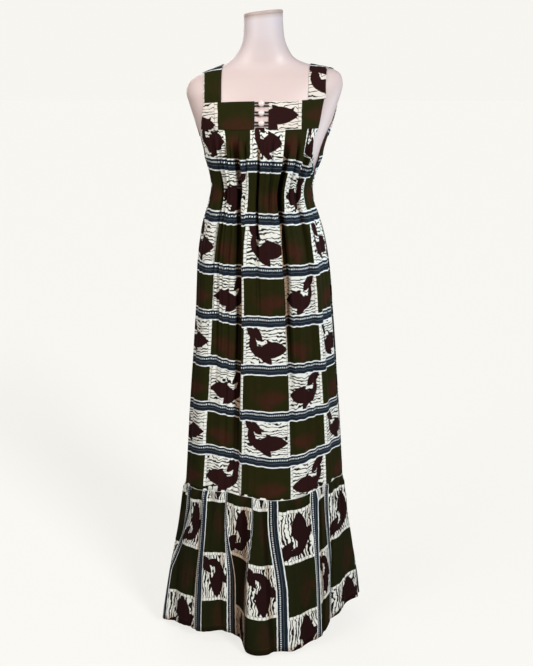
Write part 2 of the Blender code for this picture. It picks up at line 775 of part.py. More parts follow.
# Closure: ball buttons in the slit, each held from both sides by a loop round its back
for k, height in enumerate(BUTTON_HEIGHTS, start=1):
    middle, out, up = chest_frame(height)
    right = Vector((1.0, 0.0, 0.0))
    ball_depth = BUTTON_RADIUS * BUTTON_FLATNESS
    ball_centre = middle + out * (LOOP_CORD - BUTTON_DIP + ball_depth)
    turn = Matrix((right, up, out)).transposed().to_4x4()
    mesh = bpy.data.meshes.new(f"button_{k}")
    shape = bmesh.new()
    bmesh.ops.create_uvsphere(
        shape,
        u_segments=14,
        v_segments=9,
        radius=BUTTON_RADIUS,
        matrix=Matrix.Translation(ball_centre) @ turn @ Matrix.Diagonal((1.0, 1.0, BUTTON_FLATNESS, 1.0)),
    )
    shape.to_mesh(mesh)
    shape.free()
    keep(f"button_{k}", mesh, pearl)
    for word, side in (("left", -1.0), ("right", 1.0)):
        leg = (LOOP_HEIGHT - LOOP_CORD) / 2.0
        reach = LOOP_END + LOOP_CORD / 2.0
        route = [(SLIT_HALF_WIDTH - SEAM_GAP, leg)]
        for step in range(7):
            angle = math.pi / 2.0 + math.pi * step / 6.0
            route.append((reach + leg + leg * math.cos(angle), leg * math.sin(angle)))
        route.append((SLIT_HALF_WIDTH - SEAM_GAP, -leg))
        curve = bpy.data.curves.new(f"loop_{word}_{k}", "CURVE")
        curve.dimensions = "3D"
        curve.bevel_depth = LOOP_CORD / 2.0
        curve.bevel_resolution = 1
        curve.use_fill_caps = True
        line = curve.splines.new("POLY")
        line.points.add(len(route) - 1)
        for spot, (x, y) in zip(line.points, route):
            where = middle + right * (side * x) + up * y + out * (LOOP_CORD / 2.0)
            spot.co = (*where, 1.0)
        curve.materials.append(cord)
        body = bpy.data.objects.new(f"loop_{word}_{k}", curve)
        parts.objects.link(body)
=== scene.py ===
import math

import bmesh
import bpy
import numpy as np
from mathutils import Matrix, Vector


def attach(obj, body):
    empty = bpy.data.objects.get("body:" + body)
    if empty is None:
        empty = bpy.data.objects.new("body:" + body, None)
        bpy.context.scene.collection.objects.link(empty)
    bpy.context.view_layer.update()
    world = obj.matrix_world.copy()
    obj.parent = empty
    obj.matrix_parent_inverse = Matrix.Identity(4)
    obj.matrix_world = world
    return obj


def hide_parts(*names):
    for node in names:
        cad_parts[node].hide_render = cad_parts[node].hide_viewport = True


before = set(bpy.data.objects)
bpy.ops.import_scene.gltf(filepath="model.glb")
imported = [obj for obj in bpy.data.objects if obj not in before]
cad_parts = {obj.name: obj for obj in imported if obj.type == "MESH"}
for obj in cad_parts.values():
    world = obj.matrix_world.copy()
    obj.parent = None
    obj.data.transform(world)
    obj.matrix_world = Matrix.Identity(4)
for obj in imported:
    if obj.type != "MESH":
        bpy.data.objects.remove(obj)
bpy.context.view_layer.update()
scene = bpy.context.scene


# Camera and studio: the photograph's view, from a little under the neck and turned 2 degrees,
# over a plain pale floor that meets an equally pale world, lit softly from both sides
def shown(name, data):
    """A new object in the scene."""
    thing = bpy.data.objects.new(name, data)
    scene.collection.objects.link(thing)
    return thing


view = bpy.data.cameras.new("view")
view.lens = 54.6
camera = shown("view", view)
camera_turn = math.radians(2.0)
camera.location = Matrix.Rotation(camera_turn, 3, "Z") @ Vector((0.0066, -2.5, 1.492))
camera.rotation_euler = (math.radians(75.0), 0.0, camera_turn)
scene.camera = camera
scene.view_settings.view_transform = "Standard"


class Value:
    """A node's output, which takes plain arithmetic: each step is a Math node."""

    def __init__(self, tree, socket):
        self.tree = tree
        self.socket = socket

    def step(self, operation, *others):
        """The value after a Math node."""
        return made(self.tree, "ShaderNodeMath", 0, dict(enumerate((self, *others))), operation=operation)

    def beside(self, output):
        """Another output of the same node."""
        return Value(self.tree, self.socket.node.outputs[output])

    def __add__(self, other):
        return self.step("ADD", other)

    def __sub__(self, other):
        return self.step("SUBTRACT", other)

    def __rsub__(self, other):
        return (self - other) * -1.0

    def __mul__(self, other):
        return self.step("MULTIPLY", other)

    def __truediv__(self, other):
        return self.step("DIVIDE", other)

    def __mod__(self, other):
        return self.step("FLOORED_MODULO", other)

    def __lt__(self, other):
        return self.step("LESS_THAN", other)

    def __gt__(self, other):
        return self.step("GREATER_THAN", other)

    def __abs__(self):
        return self.step("ABSOLUTE")

    def clamped(self):
        """The value kept between 0 and 1."""
        return self.step("MAXIMUM", 0.0).step("MINIMUM", 1.0)


def join(value, socket):
    """Links a value to a node's input, or sets the input to a plain number or colour."""
    if isinstance(value, Value):
        value.tree.links.new(value.socket, socket)
    elif socket.type == "RGBA":
        socket.default_value = (*value[:3], 1.0)
    else:
        socket.default_value = value


def made(tree, kind, output, inputs=(), **settings):
    """One output of a new node that has its settings and inputs set."""
    node = tree.nodes.new(kind)
    for setting, value in settings.items():
        setattr(node, setting, value)
    for socket, value in dict(inputs).items():
        join(value, node.inputs[socket])
    return Value(tree, node.outputs[output])


def material(name):
    """A new Principled material and its node tree."""
    finish = bpy.data.materials.new(name)
    finish.use_nodes = True
    return finish, finish.node_tree


def finished(finish, inputs):
    """Sets a material's Principled inputs."""
    for socket, value in inputs.items():
        join(value, finish.node_tree.nodes["Principled BSDF"].inputs[socket])


paper = (0.930, 0.915, 0.875)
world = bpy.data.worlds.new("studio")
world.use_nodes = True
sky = world.node_tree
looked_at = made(sky, "ShaderNodeLightPath", "Is Camera Ray")
glow = made(sky, "ShaderNodeBackground", 0, {"Color": (0.95, 0.97, 1.0), "Strength": 0.22})
seen = made(sky, "ShaderNodeBackground", 0, {"Color": paper})
backdrop = made(sky, "ShaderNodeMixShader", 0, {0: looked_at, 1: glow, 2: seen})
join(backdrop, sky.nodes["World Output"].inputs["Surface"])
scene.world = world

FLOOR_REACH = 40.0
floor_mesh = bpy.data.meshes.new("floor")
floor_corners = [(x * FLOOR_REACH, y * FLOOR_REACH, 0.0) for x, y in ((-1, -1), (1, -1), (1, 1), (-1, 1))]
floor_mesh.from_pydata(floor_corners, [], [(0, 1, 2, 3)])
floor = shown("floor", floor_mesh)
pale_floor, tree = material("pale_floor")
finished(pale_floor, {
    "Base Color": (0.26, 0.257, 0.247),
    "Roughness": 1.0,
    "Specular IOR Level": 0.0,
    "Emission Color": paper,
    "Emission Strength": made(tree, "ShaderNodeLightPath", "Is Camera Ray") * 0.82,
})
floor_mesh.materials.append(pale_floor)


def lamp(name, kind, spot, aim, power, colour):
    """A soft lamp that shines from a spot to its aim. A sun's spot doesn't matter."""
    data = bpy.data.lights.new(name, kind)
    data.energy = power
    data.color = colour
    light = shown(name, data)
    light.location = spot
    light.rotation_euler = (Vector(aim) - Vector(spot)).to_track_quat("-Z", "Y").to_euler()
    light.visible_camera = False
    return data


far_off = (0.0, 0.0, 0.0)
lamp("key", "SUN", far_off, (-0.50, 0.74, -0.44), 2.24, (0.97, 0.99, 1.0)).angle = math.radians(16.0)
lamp("rear", "SUN", far_off, (0.30, -0.88, -0.24), 1.0, (1.0, 0.98, 0.95)).angle = math.radians(40.0)
lamp("side", "SUN", far_off, (0.72, 0.55, -0.28), 0.80, (1.0, 0.94, 0.87)).angle = math.radians(50.0)
lamp("window", "AREA", (0.70, 0.02, 1.18), (0.12, -0.02, 1.31), 1.8, (0.74, 0.89, 1.0)).size = 0.3
lamp("fill", "AREA", (-0.72, -1.05, 1.98), (0.0, 0.0, 1.35), 6.8, (1.0, 0.93, 0.86)).size = 0.5


# Stand: a heavy round steel base and a steel pole, hidden by the ruffle in the photograph.
# The solids keep their shape and get a brushed finish
def speckle(vector, scale, detail=2.0, roughness=0.5):
    """Noise from 0 to 1 over a vector."""
    inputs = {"Vector": vector, "Scale": scale, "Detail": detail, "Roughness": roughness}
    return made(vector.tree, "ShaderNodeTexNoise", "Fac", inputs)


def stretched(vector, scale):
    """A vector multiplied along its axes."""
    return made(vector.tree, "ShaderNodeVectorMath", 0, {0: vector, 1: scale}, operation="MULTIPLY")


def blended(share, low, high):
    """A colour between two."""
    return made(share.tree, "ShaderNodeMix", 2, {0: share, 6: low, 7: high}, data_type="RGBA")


def bumped(height, distance, strength):
    """A bump's normal."""
    inputs = {"Height": height, "Distance": distance, "Strength": strength}
    return made(height.tree, "ShaderNodeBump", 0, inputs)


def group_tree(name, inputs, outputs, kind="ShaderNodeTree"):
    """A node group with named sockets, its inputs' values and its end node."""
    group = bpy.data.node_groups.new(name, kind)
    for socket, holds, value in inputs:
        entry = group.interface.new_socket(socket, in_out="INPUT", socket_type=f"NodeSocket{holds}")
        if value is not None:
            entry.default_value = value
    for socket, holds in outputs:
        group.interface.new_socket(socket, in_out="OUTPUT", socket_type=f"NodeSocket{holds}")
    start = group.nodes.new("NodeGroupInput")
    given = {socket.name: Value(group, socket) for socket in start.outputs}
    return group, given, group.nodes.new("NodeGroupOutput")


grain_group, given, end = group_tree(
    "grain",
    (
        ("Place", "Vector", None),
        ("Scale", "Float", 100.0),
        ("Detail", "Float", 2.0),
        ("Dark", "Color", (0.4, 0.4, 0.4, 1.0)),
        ("Light", "Color", (0.6, 0.6, 0.6, 1.0)),
        ("Relief", "Float", 0.0001),
        ("Strength", "Float", 0.5),
    ),
    (("Color", "Color"), ("Grain", "Float"), ("Normal", "Vector")),
)
grain = speckle(given["Place"], given["Scale"], given["Detail"])
join(blended(grain, given["Dark"], given["Light"]), end.inputs["Color"])
join(grain, end.inputs["Grain"])
join(bumped(grain, given["Relief"], given["Strength"]), end.inputs["Normal"])


def mottled(place, **values):
    """A grain's colour over a vector. The grain and its relief's normal are beside it."""
    return made(place.tree, "ShaderNodeGroup", "Color", {"Place": place, **values}, node_tree=grain_group)


def grained(name, inputs, stretch=(1.0, 1.0, 1.0), **values):
    """A material whose grain mottles its colour and stands up a little, and that colour."""
    finish, tree = material(name)
    colour = mottled(stretched(made(tree, "ShaderNodeTexCoord", "Object"), stretch), **values)
    finished(finish, {"Base Color": colour, "Normal": colour.beside("Normal"), **inputs})
    return finish, colour


steel, brushed = grained(
    "brushed_steel", {"Metallic": 1.0}, stretch=(60.0, 60.0, 4.0), Scale=12.0, Detail=3.0,
    Dark=(0.46, 0.46, 0.47), Light=(0.66, 0.66, 0.66), Relief=0.0002, Strength=0.4,
)
finished(steel, {"Roughness": brushed.beside("Grain") * 0.25 + 0.25})
for node in ("stand_base", "stand_pole"):
    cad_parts[node].data.materials.clear()
    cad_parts[node].data.materials.append(steel)


# Torso: a smooth hollow shell with rounded shoulders and a slanted neck, moulded in one piece
# and painted a satin pale pink. The rows are height, half width, front, back and middle
FORM_SECTIONS = (
    (0.88, 0.144, 0.096, 0.102, 0), (0.95, 0.153, 0.106, 0.11, 0),
    (1.02, 0.148, 0.103, 0.11, 0), (1.1, 0.134, 0.094, 0.098, 0),
    (1.19, 0.118, 0.082, 0.08, 0), (1.222, 0.1235, 0.088, 0.081, 0),
    (1.25, 0.133, 0.098, 0.085, 0), (1.275, 0.141, 0.107, 0.089, 0),
    (1.297, 0.147, 0.111, 0.091, 0), (1.34, 0.161, 0.106, 0.096, 0.001),
    (1.381, 0.174, 0.093, 0.099, 0.001), (1.409, 0.183, 0.083, 0.097, 0.002),
    (1.432, 0.188, 0.074, 0.091, 0.0016), (1.455, 0.1815, 0.062, 0.08, 0.0016),
    (1.468, 0.164, 0.052, 0.07, 0.0016), (1.477, 0.134, 0.046, 0.062, 0.002),
    (1.487, 0.101, 0.043, 0.056, 0), (1.5, 0.076, 0.042, 0.051, -0.001),
    (1.52, 0.06, 0.042, 0.048, 0), (1.545, 0.05, 0.043, 0.046, 0),
    (1.57, 0.047, 0.043, 0.045, -0.0005), (1.6, 0.046, 0.043, 0.044, -0.001),
)
SECTION_POWER = 2.0 / 2.2
FORM_SEGMENTS = 160
SHOULDER_RISE = 0.0108
SHOULDER_HALF_WIDTH = 0.1870
LEAN_BOTTOM = 1.260
LEAN_TOP = 1.440
NECK_BOTTOM = 1.530
NECK_TOP = 1.600
NECK_SLANT = 0.108


def smooth(table, height, column):
    """A table's column at a height, or at many, on a curve through its rows."""
    rows = np.array([row[: column + 1] for row in table])
    at = rows[:, 0]
    value = rows[:, column]
    k = np.arange(len(at))
    low = np.maximum(k - 1, 0)
    high = np.minimum(k + 1, len(at) - 1)
    slope = (value[high] - value[low]) / (at[high] - at[low])
    here = np.clip(height, at[0], at[-1])
    i = np.clip(np.searchsorted(at, here, side="right") - 1, 0, len(at) - 2)
    span = at[i + 1] - at[i]
    t = (here - at[i]) / span
    start = (2 * t**3 - 3 * t**2 + 1) * value[i] + (t**3 - 2 * t**2 + t) * span * slope[i]
    end = (3 * t**2 - 2 * t**3) * value[i + 1] + (t**3 - t**2) * span * slope[i + 1]
    return start + end


def ease(value):
    """A smooth step from 0 to 1."""
    t = np.clip(value, 0.0, 1.0)
    return t * t * (3.0 - 2.0 * t)


def leaned(x, y, height):
    """Points of the upright shape, raised or lowered where the shoulders and neck slant."""
    shoulders = SHOULDER_RISE * ease((height - LEAN_BOTTOM) / (LEAN_TOP - LEAN_BOTTOM))
    shoulders = shoulders * (1.0 - ease((height - NECK_BOTTOM) / 0.040))
    across = x / SHOULDER_HALF_WIDTH
    neck = NECK_SLANT * ease((height - NECK_BOTTOM) / (NECK_TOP - NECK_BOTTOM))
    return np.stack((x, y, height + shoulders * across * np.abs(across) + neck * x), axis=-1)


def signed_power(value, power):
    """A power that keeps the sign."""
    return np.copysign(np.abs(value) ** power, value)


def ring_point(section, angle, out=0.0):
    """Where a section's oval lies at angles from the front centre, moved out by a distance."""
    half_width, front, back, centre = section
    s = np.sin(angle)
    c = np.cos(angle)
    depth = np.where(c > 0.0, front, back)
    nx = signed_power(s, 2.0 - SECTION_POWER) / half_width
    ny = -signed_power(c, 2.0 - SECTION_POWER) / depth
    length = np.hypot(nx, ny)
    x = centre + half_width * signed_power(s, SECTION_POWER) + nx / length * out
    return x, -depth * signed_power(c, SECTION_POWER) + ny / length * out


def section_at(table, height):
    """A table's half width, front depth, back depth and, where it has one, middle at a height."""
    return tuple(smooth(table, height, column) for column in range(1, len(table[0])))


def form_section(height):
    """The torso's section at a height."""
    return section_at(FORM_SECTIONS, height)


def woven_mesh(name, points, closed=False):
    """A mesh over rows of points from the top down, as quads that face outwards."""
    rows, columns = points.shape[:2]
    number = np.arange(rows * columns).reshape(rows, columns)
    if closed:
        number = np.concatenate((number, number[:, :1]), axis=1)
    corners = (number[1:, :-1], number[1:, 1:], number[:-1, 1:], number[:-1, :-1])
    faces = np.stack(corners, axis=-1).reshape(-1, 4)
    mesh = bpy.data.meshes.new(name)
    mesh.from_pydata(points.reshape(-1, 3).tolist(), [], faces.tolist())
    return mesh


def placed(name, mesh, finish, slot_name, *nodes):
    """A finished piece in the scene, riding on the one body in place of its CAD nodes."""
    mesh.materials.clear()
    mesh.materials.append(finish)
    mesh.shade_smooth()
    piece = shown(name, mesh)
    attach(piece, "root")
    if nodes:
        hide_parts(*nodes)
    return piece


def moulded(name, rings, node):
    """A shell over closed rings of points from the top down, its two ends filled."""
    mesh = woven_mesh(name, np.array(rings), closed=True)
    closing = bmesh.new()
    closing.from_mesh(mesh)
    bmesh.ops.holes_fill(closing, edges=[edge for edge in closing.edges if edge.is_boundary])
    bmesh.ops.recalc_face_normals(closing, faces=closing.faces)
    closing.to_mesh(mesh)
    closing.free()
    placed(name, mesh, form_shell, "form_shell", node)
    mesh.set_sharp_from_angle(angle=math.radians(50.0))


def axes(vector, letters="XY"):
    """The values along a vector's axes."""
    return [made(vector.tree, "ShaderNodeSeparateXYZ", letter, {0: vector}) for letter in letters]


form_shell, tree = material("satin_pink_shell")
place = made(tree, "ShaderNodeTexCoord", "Object")
x, z = axes(place, "XZ")
tone = mottled(place, Scale=9.0, Detail=3.0, Dark=(0.668, 0.540, 0.518), Light=(0.706, 0.576, 0.552))
# The neck is a cooler pink, and a painted brown shade darkens its slanted top edge and the cap
tone = blended((z * 5.0 - 7.3).clamped(), tone, (0.715, 0.690, 0.750))
shade_from = 1.5890
shade_sharpness = 80.0
painted_shading = ((x * -NECK_SLANT + z - shade_from) * shade_sharpness).clamped()
finished(form_shell, {
    "Base Color": blended(painted_shading, tone, (0.50, 0.400, 0.370)),
    "Roughness": 0.42,
    "Subsurface Weight": 0.08,
    "Subsurface Scale": 0.01,
    "Normal": mottled(place, Scale=900.0, Detail=1.0, Relief=0.00006, Strength=0.6).beside("Normal"),
})

levels = [row[0] for row in FORM_SECTIONS]
form_heights = np.interp(np.arange(0, len(levels) - 1 + 1 / 6, 1 / 6), range(len(levels)), levels)[::-1]
ring_angles = np.arange(FORM_SEGMENTS) * math.tau / FORM_SEGMENTS
form_rings = [leaned(*ring_point(form_section(height), ring_angles), height) for height in form_heights]
moulded("torso", form_rings, "form_torso")

# Neck cap: a thin slanted disc with a rounded rim that closes the open neck. It is moulded in
# the same plastic, glued on and painted like the torso
cap_profile = ((0.30, 1.06), (0.88, 1.0), (0.97, 0.90), (1.005, 0.72), (1.012, 0.40), (1.010, 0.0))
cap_rings = []
for share, rise in cap_profile:
    x, y = ring_point(form_section(NECK_TOP), ring_angles)
    ring = leaned(x * share, y * share, NECK_TOP)
    cap_rings.append(ring + np.array((0.0, 0.0, 0.0003 + 0.008 * rise)))
moulded("neck_cap", cap_rings, "form_neck_cap")

# Front yoke: two flat halves of double cotton with a slit between them, sewn to the straps and
# the skirt. The cloth is a wax print of olive and cream squares in rows, each row over a navy
# band, with a fish on every cream one
ROW_PITCH = 0.124
BAND_SHARE = 0.25
SQUARE_WIDTH = 0.144
SQUARE_HEIGHT = ROW_PITCH * (1.0 - BAND_SHARE)

# A fish of bent pointed ovals: middle along and up, half length, half height, turn in degrees and
# bend, all in shares of the square's height
FISH_OVALS = (
    (0.2, -0.1, 0.5, 0.225, 3, -0.12), (-0.07, -0.24, 0.36, 0.16, -44, -0.1),
    (-0.43, -0.02, 0.46, 0.122, 112, -0.8), (-0.49, 0.36, 0.23, 0.115, 138, 0),
    (-0.3, 0.31, 0.25, 0.115, -54, 0.6), (0.14, 0.06, 0.17, 0.07, 138, 0),
)
fish_group, given, end = group_tree(
    "print_fish", (("Along", "Float", 0.0), ("Up", "Float", 0.0)), (("Inside", "Float"),)
)
inside = -1.0
for along, up, length, height, turn, bend in FISH_OVALS:
    c = math.cos(math.radians(turn))
    s = math.sin(math.radians(turn))
    dx = given["Along"] - along
    dy = given["Up"] - up
    x = dx * c + dy * s
    y = dy * c - dx * s - x * x * bend
    rim = height - x * x * (height / length**2)
    inside = (rim - abs(y)).step("MAXIMUM", inside)
join(inside, end.inputs["Inside"])

print_group, given, end = group_tree(
    "wax_print",
    (
        ("Thread", "Vector", None),
        ("Ground", "Color", (0.0200, 0.0193, 0.0036, 1.0)),
        ("Cream", "Color", (0.86, 0.865, 0.800, 1.0)),
        ("Fish", "Color", (0.024, 0.0071, 0.0068, 1.0)),
        ("Navy", "Color", (0.0125, 0.0200, 0.0310, 1.0)),
        ("White", "Color", (0.84, 0.88, 0.88, 1.0)),
        ("Ripples", "Float", 0.58),
        ("Rust", "Float", 1.0),
    ),
    (("Color", "Color"),),
)
thread = given["Thread"]
across, up = axes(thread)
wobble = (speckle(stretched(thread, (1.0, 1.0, 0.0)), 95.0) - 0.5) * 0.0028
across = across + wobble
up = up + wobble
row = up / ROW_PITCH
column = across / SQUARE_WIDTH
row_number = row.step("FLOOR")
column_number = column.step("FLOOR")
rise = row - row_number
odd = (row_number + column_number) % 2.0
facing = 1.0 - column_number % 2.0 * 2.0
aside = (column - column_number - 0.5) * SQUARE_WIDTH
along = aside * facing / SQUARE_HEIGHT
square_up = (rise - BAND_SHARE) / (1.0 - BAND_SHARE) - 0.5
fish = made(
    print_group, "ShaderNodeGroup", "Inside", {"Along": along, "Up": square_up}, node_tree=fish_group
)


def step_up(value, low, high):
    """A smooth step of a value from 0 at one level to 1 at another."""
    inputs = {"Value": value, "From Min": low, "From Max": high}
    return made(value.tree, "ShaderNodeMapRange", "Result", inputs, interpolation_type="SMOOTHSTEP")


# Ripples on the cream squares: uneven dark lines that swell, thin out and break
bend = speckle(stretched(thread, (1.0, 1.8, 0.0)), 15.0, 1.0)
tremble = speckle(stretched(thread, (0.9, 0.8, 0.0)), 105.0, 1.0)
weight = speckle(stretched(thread, (0.38, 1.5, 0.0)), 75.0, 1.0) * given["Ripples"] - 0.13
ripple_pitch = 0.0090
phase = up / ripple_pitch + bend * 3.6 + tremble * 1.15
ripple = step_up(weight - abs(phase.step("FRACT") - 0.5), -0.04, 0.04)

# Near a square's sides the ripples end in short straight ticks beside a thin upright line
border_width = 0.0085
tick_pitch = 0.0105
from_side = SQUARE_WIDTH / 2.0 - abs(aside)
border = from_side < border_width
tick = (up / tick_pitch).step("FRACT") < 0.12
upright = abs(from_side - border_width) < 0.0006
ripple = (ripple * (1.0 - border)).step("MAXIMUM", border * tick).step("MAXIMUM", upright * 0.45)

cream = blended(ripple, given["Cream"], (0.012, 0.009, 0.008))
rim = 1.0 - (abs(fish) * 40.0).step("MINIMUM", 1.0)
drawn_fish = blended(rim * 0.8, given["Fish"], (0.008, 0.004, 0.004))
cream = blended(step_up(fish, -0.012, 0.002), cream, drawn_fish)
# The next layer's fish shows through the olive squares as a reddish patch
mottle = speckle(stretched(thread, (1.0, 1.0, 0.0)), 60.0, 4.0)
body = (step_up(along, -0.45, 0.10) * 0.70 + 0.30) * (1.0 - step_up(square_up, -0.20, 0.30) * 0.85)
rust = (step_up(fish, -0.10, 0.12) * (mottle * 0.9 + 0.40) * body * given["Rust"]).clamped()
ground = blended(mottle, given["Ground"], (0.0150, 0.0165, 0.0030))
squares = blended(odd, cream, blended(rust, ground, (0.050, 0.0145, 0.0085)))

# The band: a pale line along each edge, a row of pale dashes and a faint line between them
edge_line = 0.0033
dash_middle = 0.0208
dash_pitch = 0.0060
faint_middle = 0.0125
band_up = rise * ROW_PITCH
lines = (band_up < edge_line).step("MAXIMUM", band_up > ROW_PITCH * BAND_SHARE - edge_line)
dashes = (abs(band_up - dash_middle) < 0.0018) * ((across / dash_pitch).step("FRACT") < 0.50)
faint_line = (abs(band_up - faint_middle) < 0.0006) * 0.10
lines = lines.step("MAXIMUM", dashes).step("MAXIMUM", faint_line)
band = blended(lines, given["Navy"], given["White"])
join(blended(rise < BAND_SHARE, squares, band), end.inputs["Color"])

weave_group, given, end = group_tree(
    "plain_weave",
    (("Thread", "Vector", None), ("Spacing", "Float", 0.0006)),
    (("Height", "Float"), ("Slub", "Float")),
)
warp, weft = ((way * math.tau / given["Spacing"]).step("SINE") for way in axes(given["Thread"]))
join(warp * weft * 0.5 + 0.5, end.inputs["Height"])
join(speckle(stretched(given["Thread"], (40.0, 900.0, 0.0)), 1.0), end.inputs["Slub"])


def print_cotton(name, selvedge=None, **dyes):
    """Wax-print cotton on a piece's own thread map, with a pale selvedge line where asked and painted shade
    where its second map says.
    """
    finish, tree = material(name)
    threads = made(tree, "ShaderNodeUVMap", "UV", uv_map="threads")
    colour = made(tree, "ShaderNodeGroup", "Color", {"Thread": threads, **dyes}, node_tree=print_group)
    if selvedge is not None:
        colour = blended(axes(threads)[0] > selvedge, colour, (0.80, 0.80, 0.74))
    weave = made(tree, "ShaderNodeGroup", "Height", {"Thread": threads}, node_tree=weave_group)
    slub = weave.beside("Slub")
    # Painted shade: where the second map says the cloth lies deep in a fold, its colour darkens towards a
    # warm brown
    fold_shade = axes(made(tree, "ShaderNodeUVMap", "UV", uv_map="hollow"))[0]
    colour = blended(fold_shade, colour, stretched(colour, (0.52, 0.36, 0.26)))
    # Uneven yarn makes the colour, its painted shade included, a little lighter or darker
    painted_shading = {0: colour, "Scale": slub * 0.26 + 0.86}
    crumple = speckle(stretched(threads, (1.0, 0.55, 0.0)), 38.0, 3.0, 0.55)
    finished(finish, {
        "Base Color": made(tree, "ShaderNodeVectorMath", 0, painted_shading, operation="SCALE"),
        "Roughness": slub * 0.2 + 0.66,
        "Specular IOR Level": 0.04,
        "Sheen Weight": 0.008,
        "Sheen Roughness": 0.6,
        "Normal": bumped(weave * 0.06 + crumple, 0.0016, 0.5),
    })
    return finish


cotton = print_cotton("wax_print_cotton")
yoke_cotton = print_cotton(
    "wax_print_cotton_doubled", Cream=(0.80, 0.74, 0.67, 1.0), Ripples=0.47, Rust=0.8
)
CLOTH = 0.0006
FORM_CLEARANCE = 0.0009
SEAM_GAP = 0.0003
YOKE_LIFT = 0.0007
YOKE_SEAM_FRONT = 1.340
NECKLINE_FRONT = 1.404
SLIT_CENTRE = -0.0017
SLIT_HALF_WIDTH = 0.0163
TORSO_BOTTOM = 0.880
LEFT_FRONT_ARMHOLE = ((1.290, -74.0), (1.320, -72.0), (1.340, -64.5), (1.370, -56.0), (1.404, -48.5))
RIGHT_FRONT_ARMHOLE = (
    (1.23, 77), (1.243, 66), (1.262, 57), (1.286, 52), (1.31, 50), (1.34, 51.5), (1.404, 49.5),
)
# Horizontal sections of the hanging cloth: height, half width, front, back and middle
SKIRT_SECTIONS = (
    (0.4, 0.208, 0.149, 0.149, 0), (0.5, 0.201, 0.144, 0.145, 0.001),
    (0.6, 0.194, 0.14, 0.141, 0.001), (0.7, 0.186, 0.136, 0.137, 0.001),
    (0.8, 0.178, 0.132, 0.133, 0.001), (0.9, 0.17, 0.127, 0.129, 0),
    (0.96, 0.1665, 0.124, 0.125, -0.001), (1.02, 0.161, 0.121, 0.12, -0.003),
    (1.08, 0.151, 0.118, 0.113, -0.004), (1.13, 0.138, 0.115, 0.103, -0.005),
    (1.165, 0.127, 0.114, 0.094, -0.006), (1.195, 0.122, 0.114, 0.089, -0.005),
    (1.222, 0.126, 0.117, 0.089, -0.003), (1.25, 0.135, 0.119, 0.091, -0.001),
    (1.275, 0.143, 0.119, 0.093, 0), (1.3, 0.143, 0.116, 0.09, 0),
    (1.325, 0.143, 0.109, 0.088, 0),
)


def worn_section(height):
    """The bodice's and skirt's oval: off the torso down to the bust, hanging free below it."""
    *torso_sizes, torso_centre = form_section(height)
    carried = tuple(size + FORM_CLEARANCE for size in torso_sizes)
    if height >= SKIRT_SECTIONS[-1][0]:
        return carried + (torso_centre,)
    *hanging, centre = section_at(SKIRT_SECTIONS, height)
    if height < TORSO_BOTTOM:
        return (*hanging, centre)
    return tuple(max(pair) for pair in zip(hanging, carried)) + (centre + torso_centre,)


def across_angle(x, section):
    """The angle where a section's oval has a distance from the middle."""
    share = min(abs(x - section[3]) / section[0], 1.0) ** (1.0 / SECTION_POWER)
    return math.copysign(math.asin(share), x - section[3])


def running(points):
    """The distance along each row of points from its start."""
    steps = np.linalg.norm(np.diff(points, axis=1), axis=2)
    return np.concatenate((np.zeros((len(points), 1)), np.cumsum(steps, axis=1)), axis=1)


def running_down(points):
    """The distance down each column of points from its top."""
    return running(points.transpose(1, 0, 2)).T


def outward(points):
    """The directions away from the body at a grid of points."""
    normal = np.cross(np.gradient(points, axis=0), np.gradient(points, axis=1))
    return normal / np.linalg.norm(normal, axis=2, keepdims=True)


def print_map(across, up):
    """A thread map: how far across and up the flat cloth each point lies."""
    return np.stack(np.broadcast_arrays(across, up), axis=-1)


def cloth(name, node, points, threads, finish, layers, hollow=0.0):
    """A wall of one or two layers of cloth over rows of points from the top down, thickened
    outwards, and its outer face. One map has the flat cloth's metres across and up, which the
    print follows, and one how much painted shade darkens it in its folds, from 0 to 1."""
    mesh = woven_mesh(name, points)
    corner = np.empty(len(mesh.loops), np.int32)
    mesh.loops.foreach_get("vertex_index", corner)
    # How much painted shade darkens each point, from 0 to 1
    deep = np.broadcast_to(hollow, points.shape[:2])
    for map_name, values in (("threads", threads), ("hollow", np.stack((deep, deep), axis=-1))):
        layer = mesh.uv_layers.new(name=map_name)
        layer.data.foreach_set("uv", values.reshape(-1, 2)[corner].astype(np.float32).ravel())
    piece = placed(name, mesh, finish, "print_cotton", node)
    wall = piece.modifiers.new("wall", "SOLIDIFY")
    wall.thickness = CLOTH * layers
    wall.offset = 1.0
    wall.use_even_offset = True
    if layers > 1:
        rounding = piece.modifiers.new("rounding", "BEVEL")
        rounding.width = 0.00035
        rounding.segments = 2
        rounding.limit_method = "ANGLE"
        rounding.angle_limit = math.radians(50.0)
    return points + outward(points) * CLOTH * layers


# The lines to stitch, and how far in from a faced edge they run
seam_lines = []
FACED = 0.0035


def stitched(face, **insets):
    """Keeps lines to stitch across an outer face, at distances in from its named edges."""
    for edge, inset in insets.items():
        grid = face.transpose(1, 0, 2) if edge in ("top", "bottom") else face
        if edge in ("right", "bottom"):
            grid = grid[:, ::-1]
        line = [
            [np.interp(inset, distance, row[:, k]) for k in range(3)]
            for row, distance in zip(grid, running(grid))
        ]
        seam_lines.append(np.array(line))


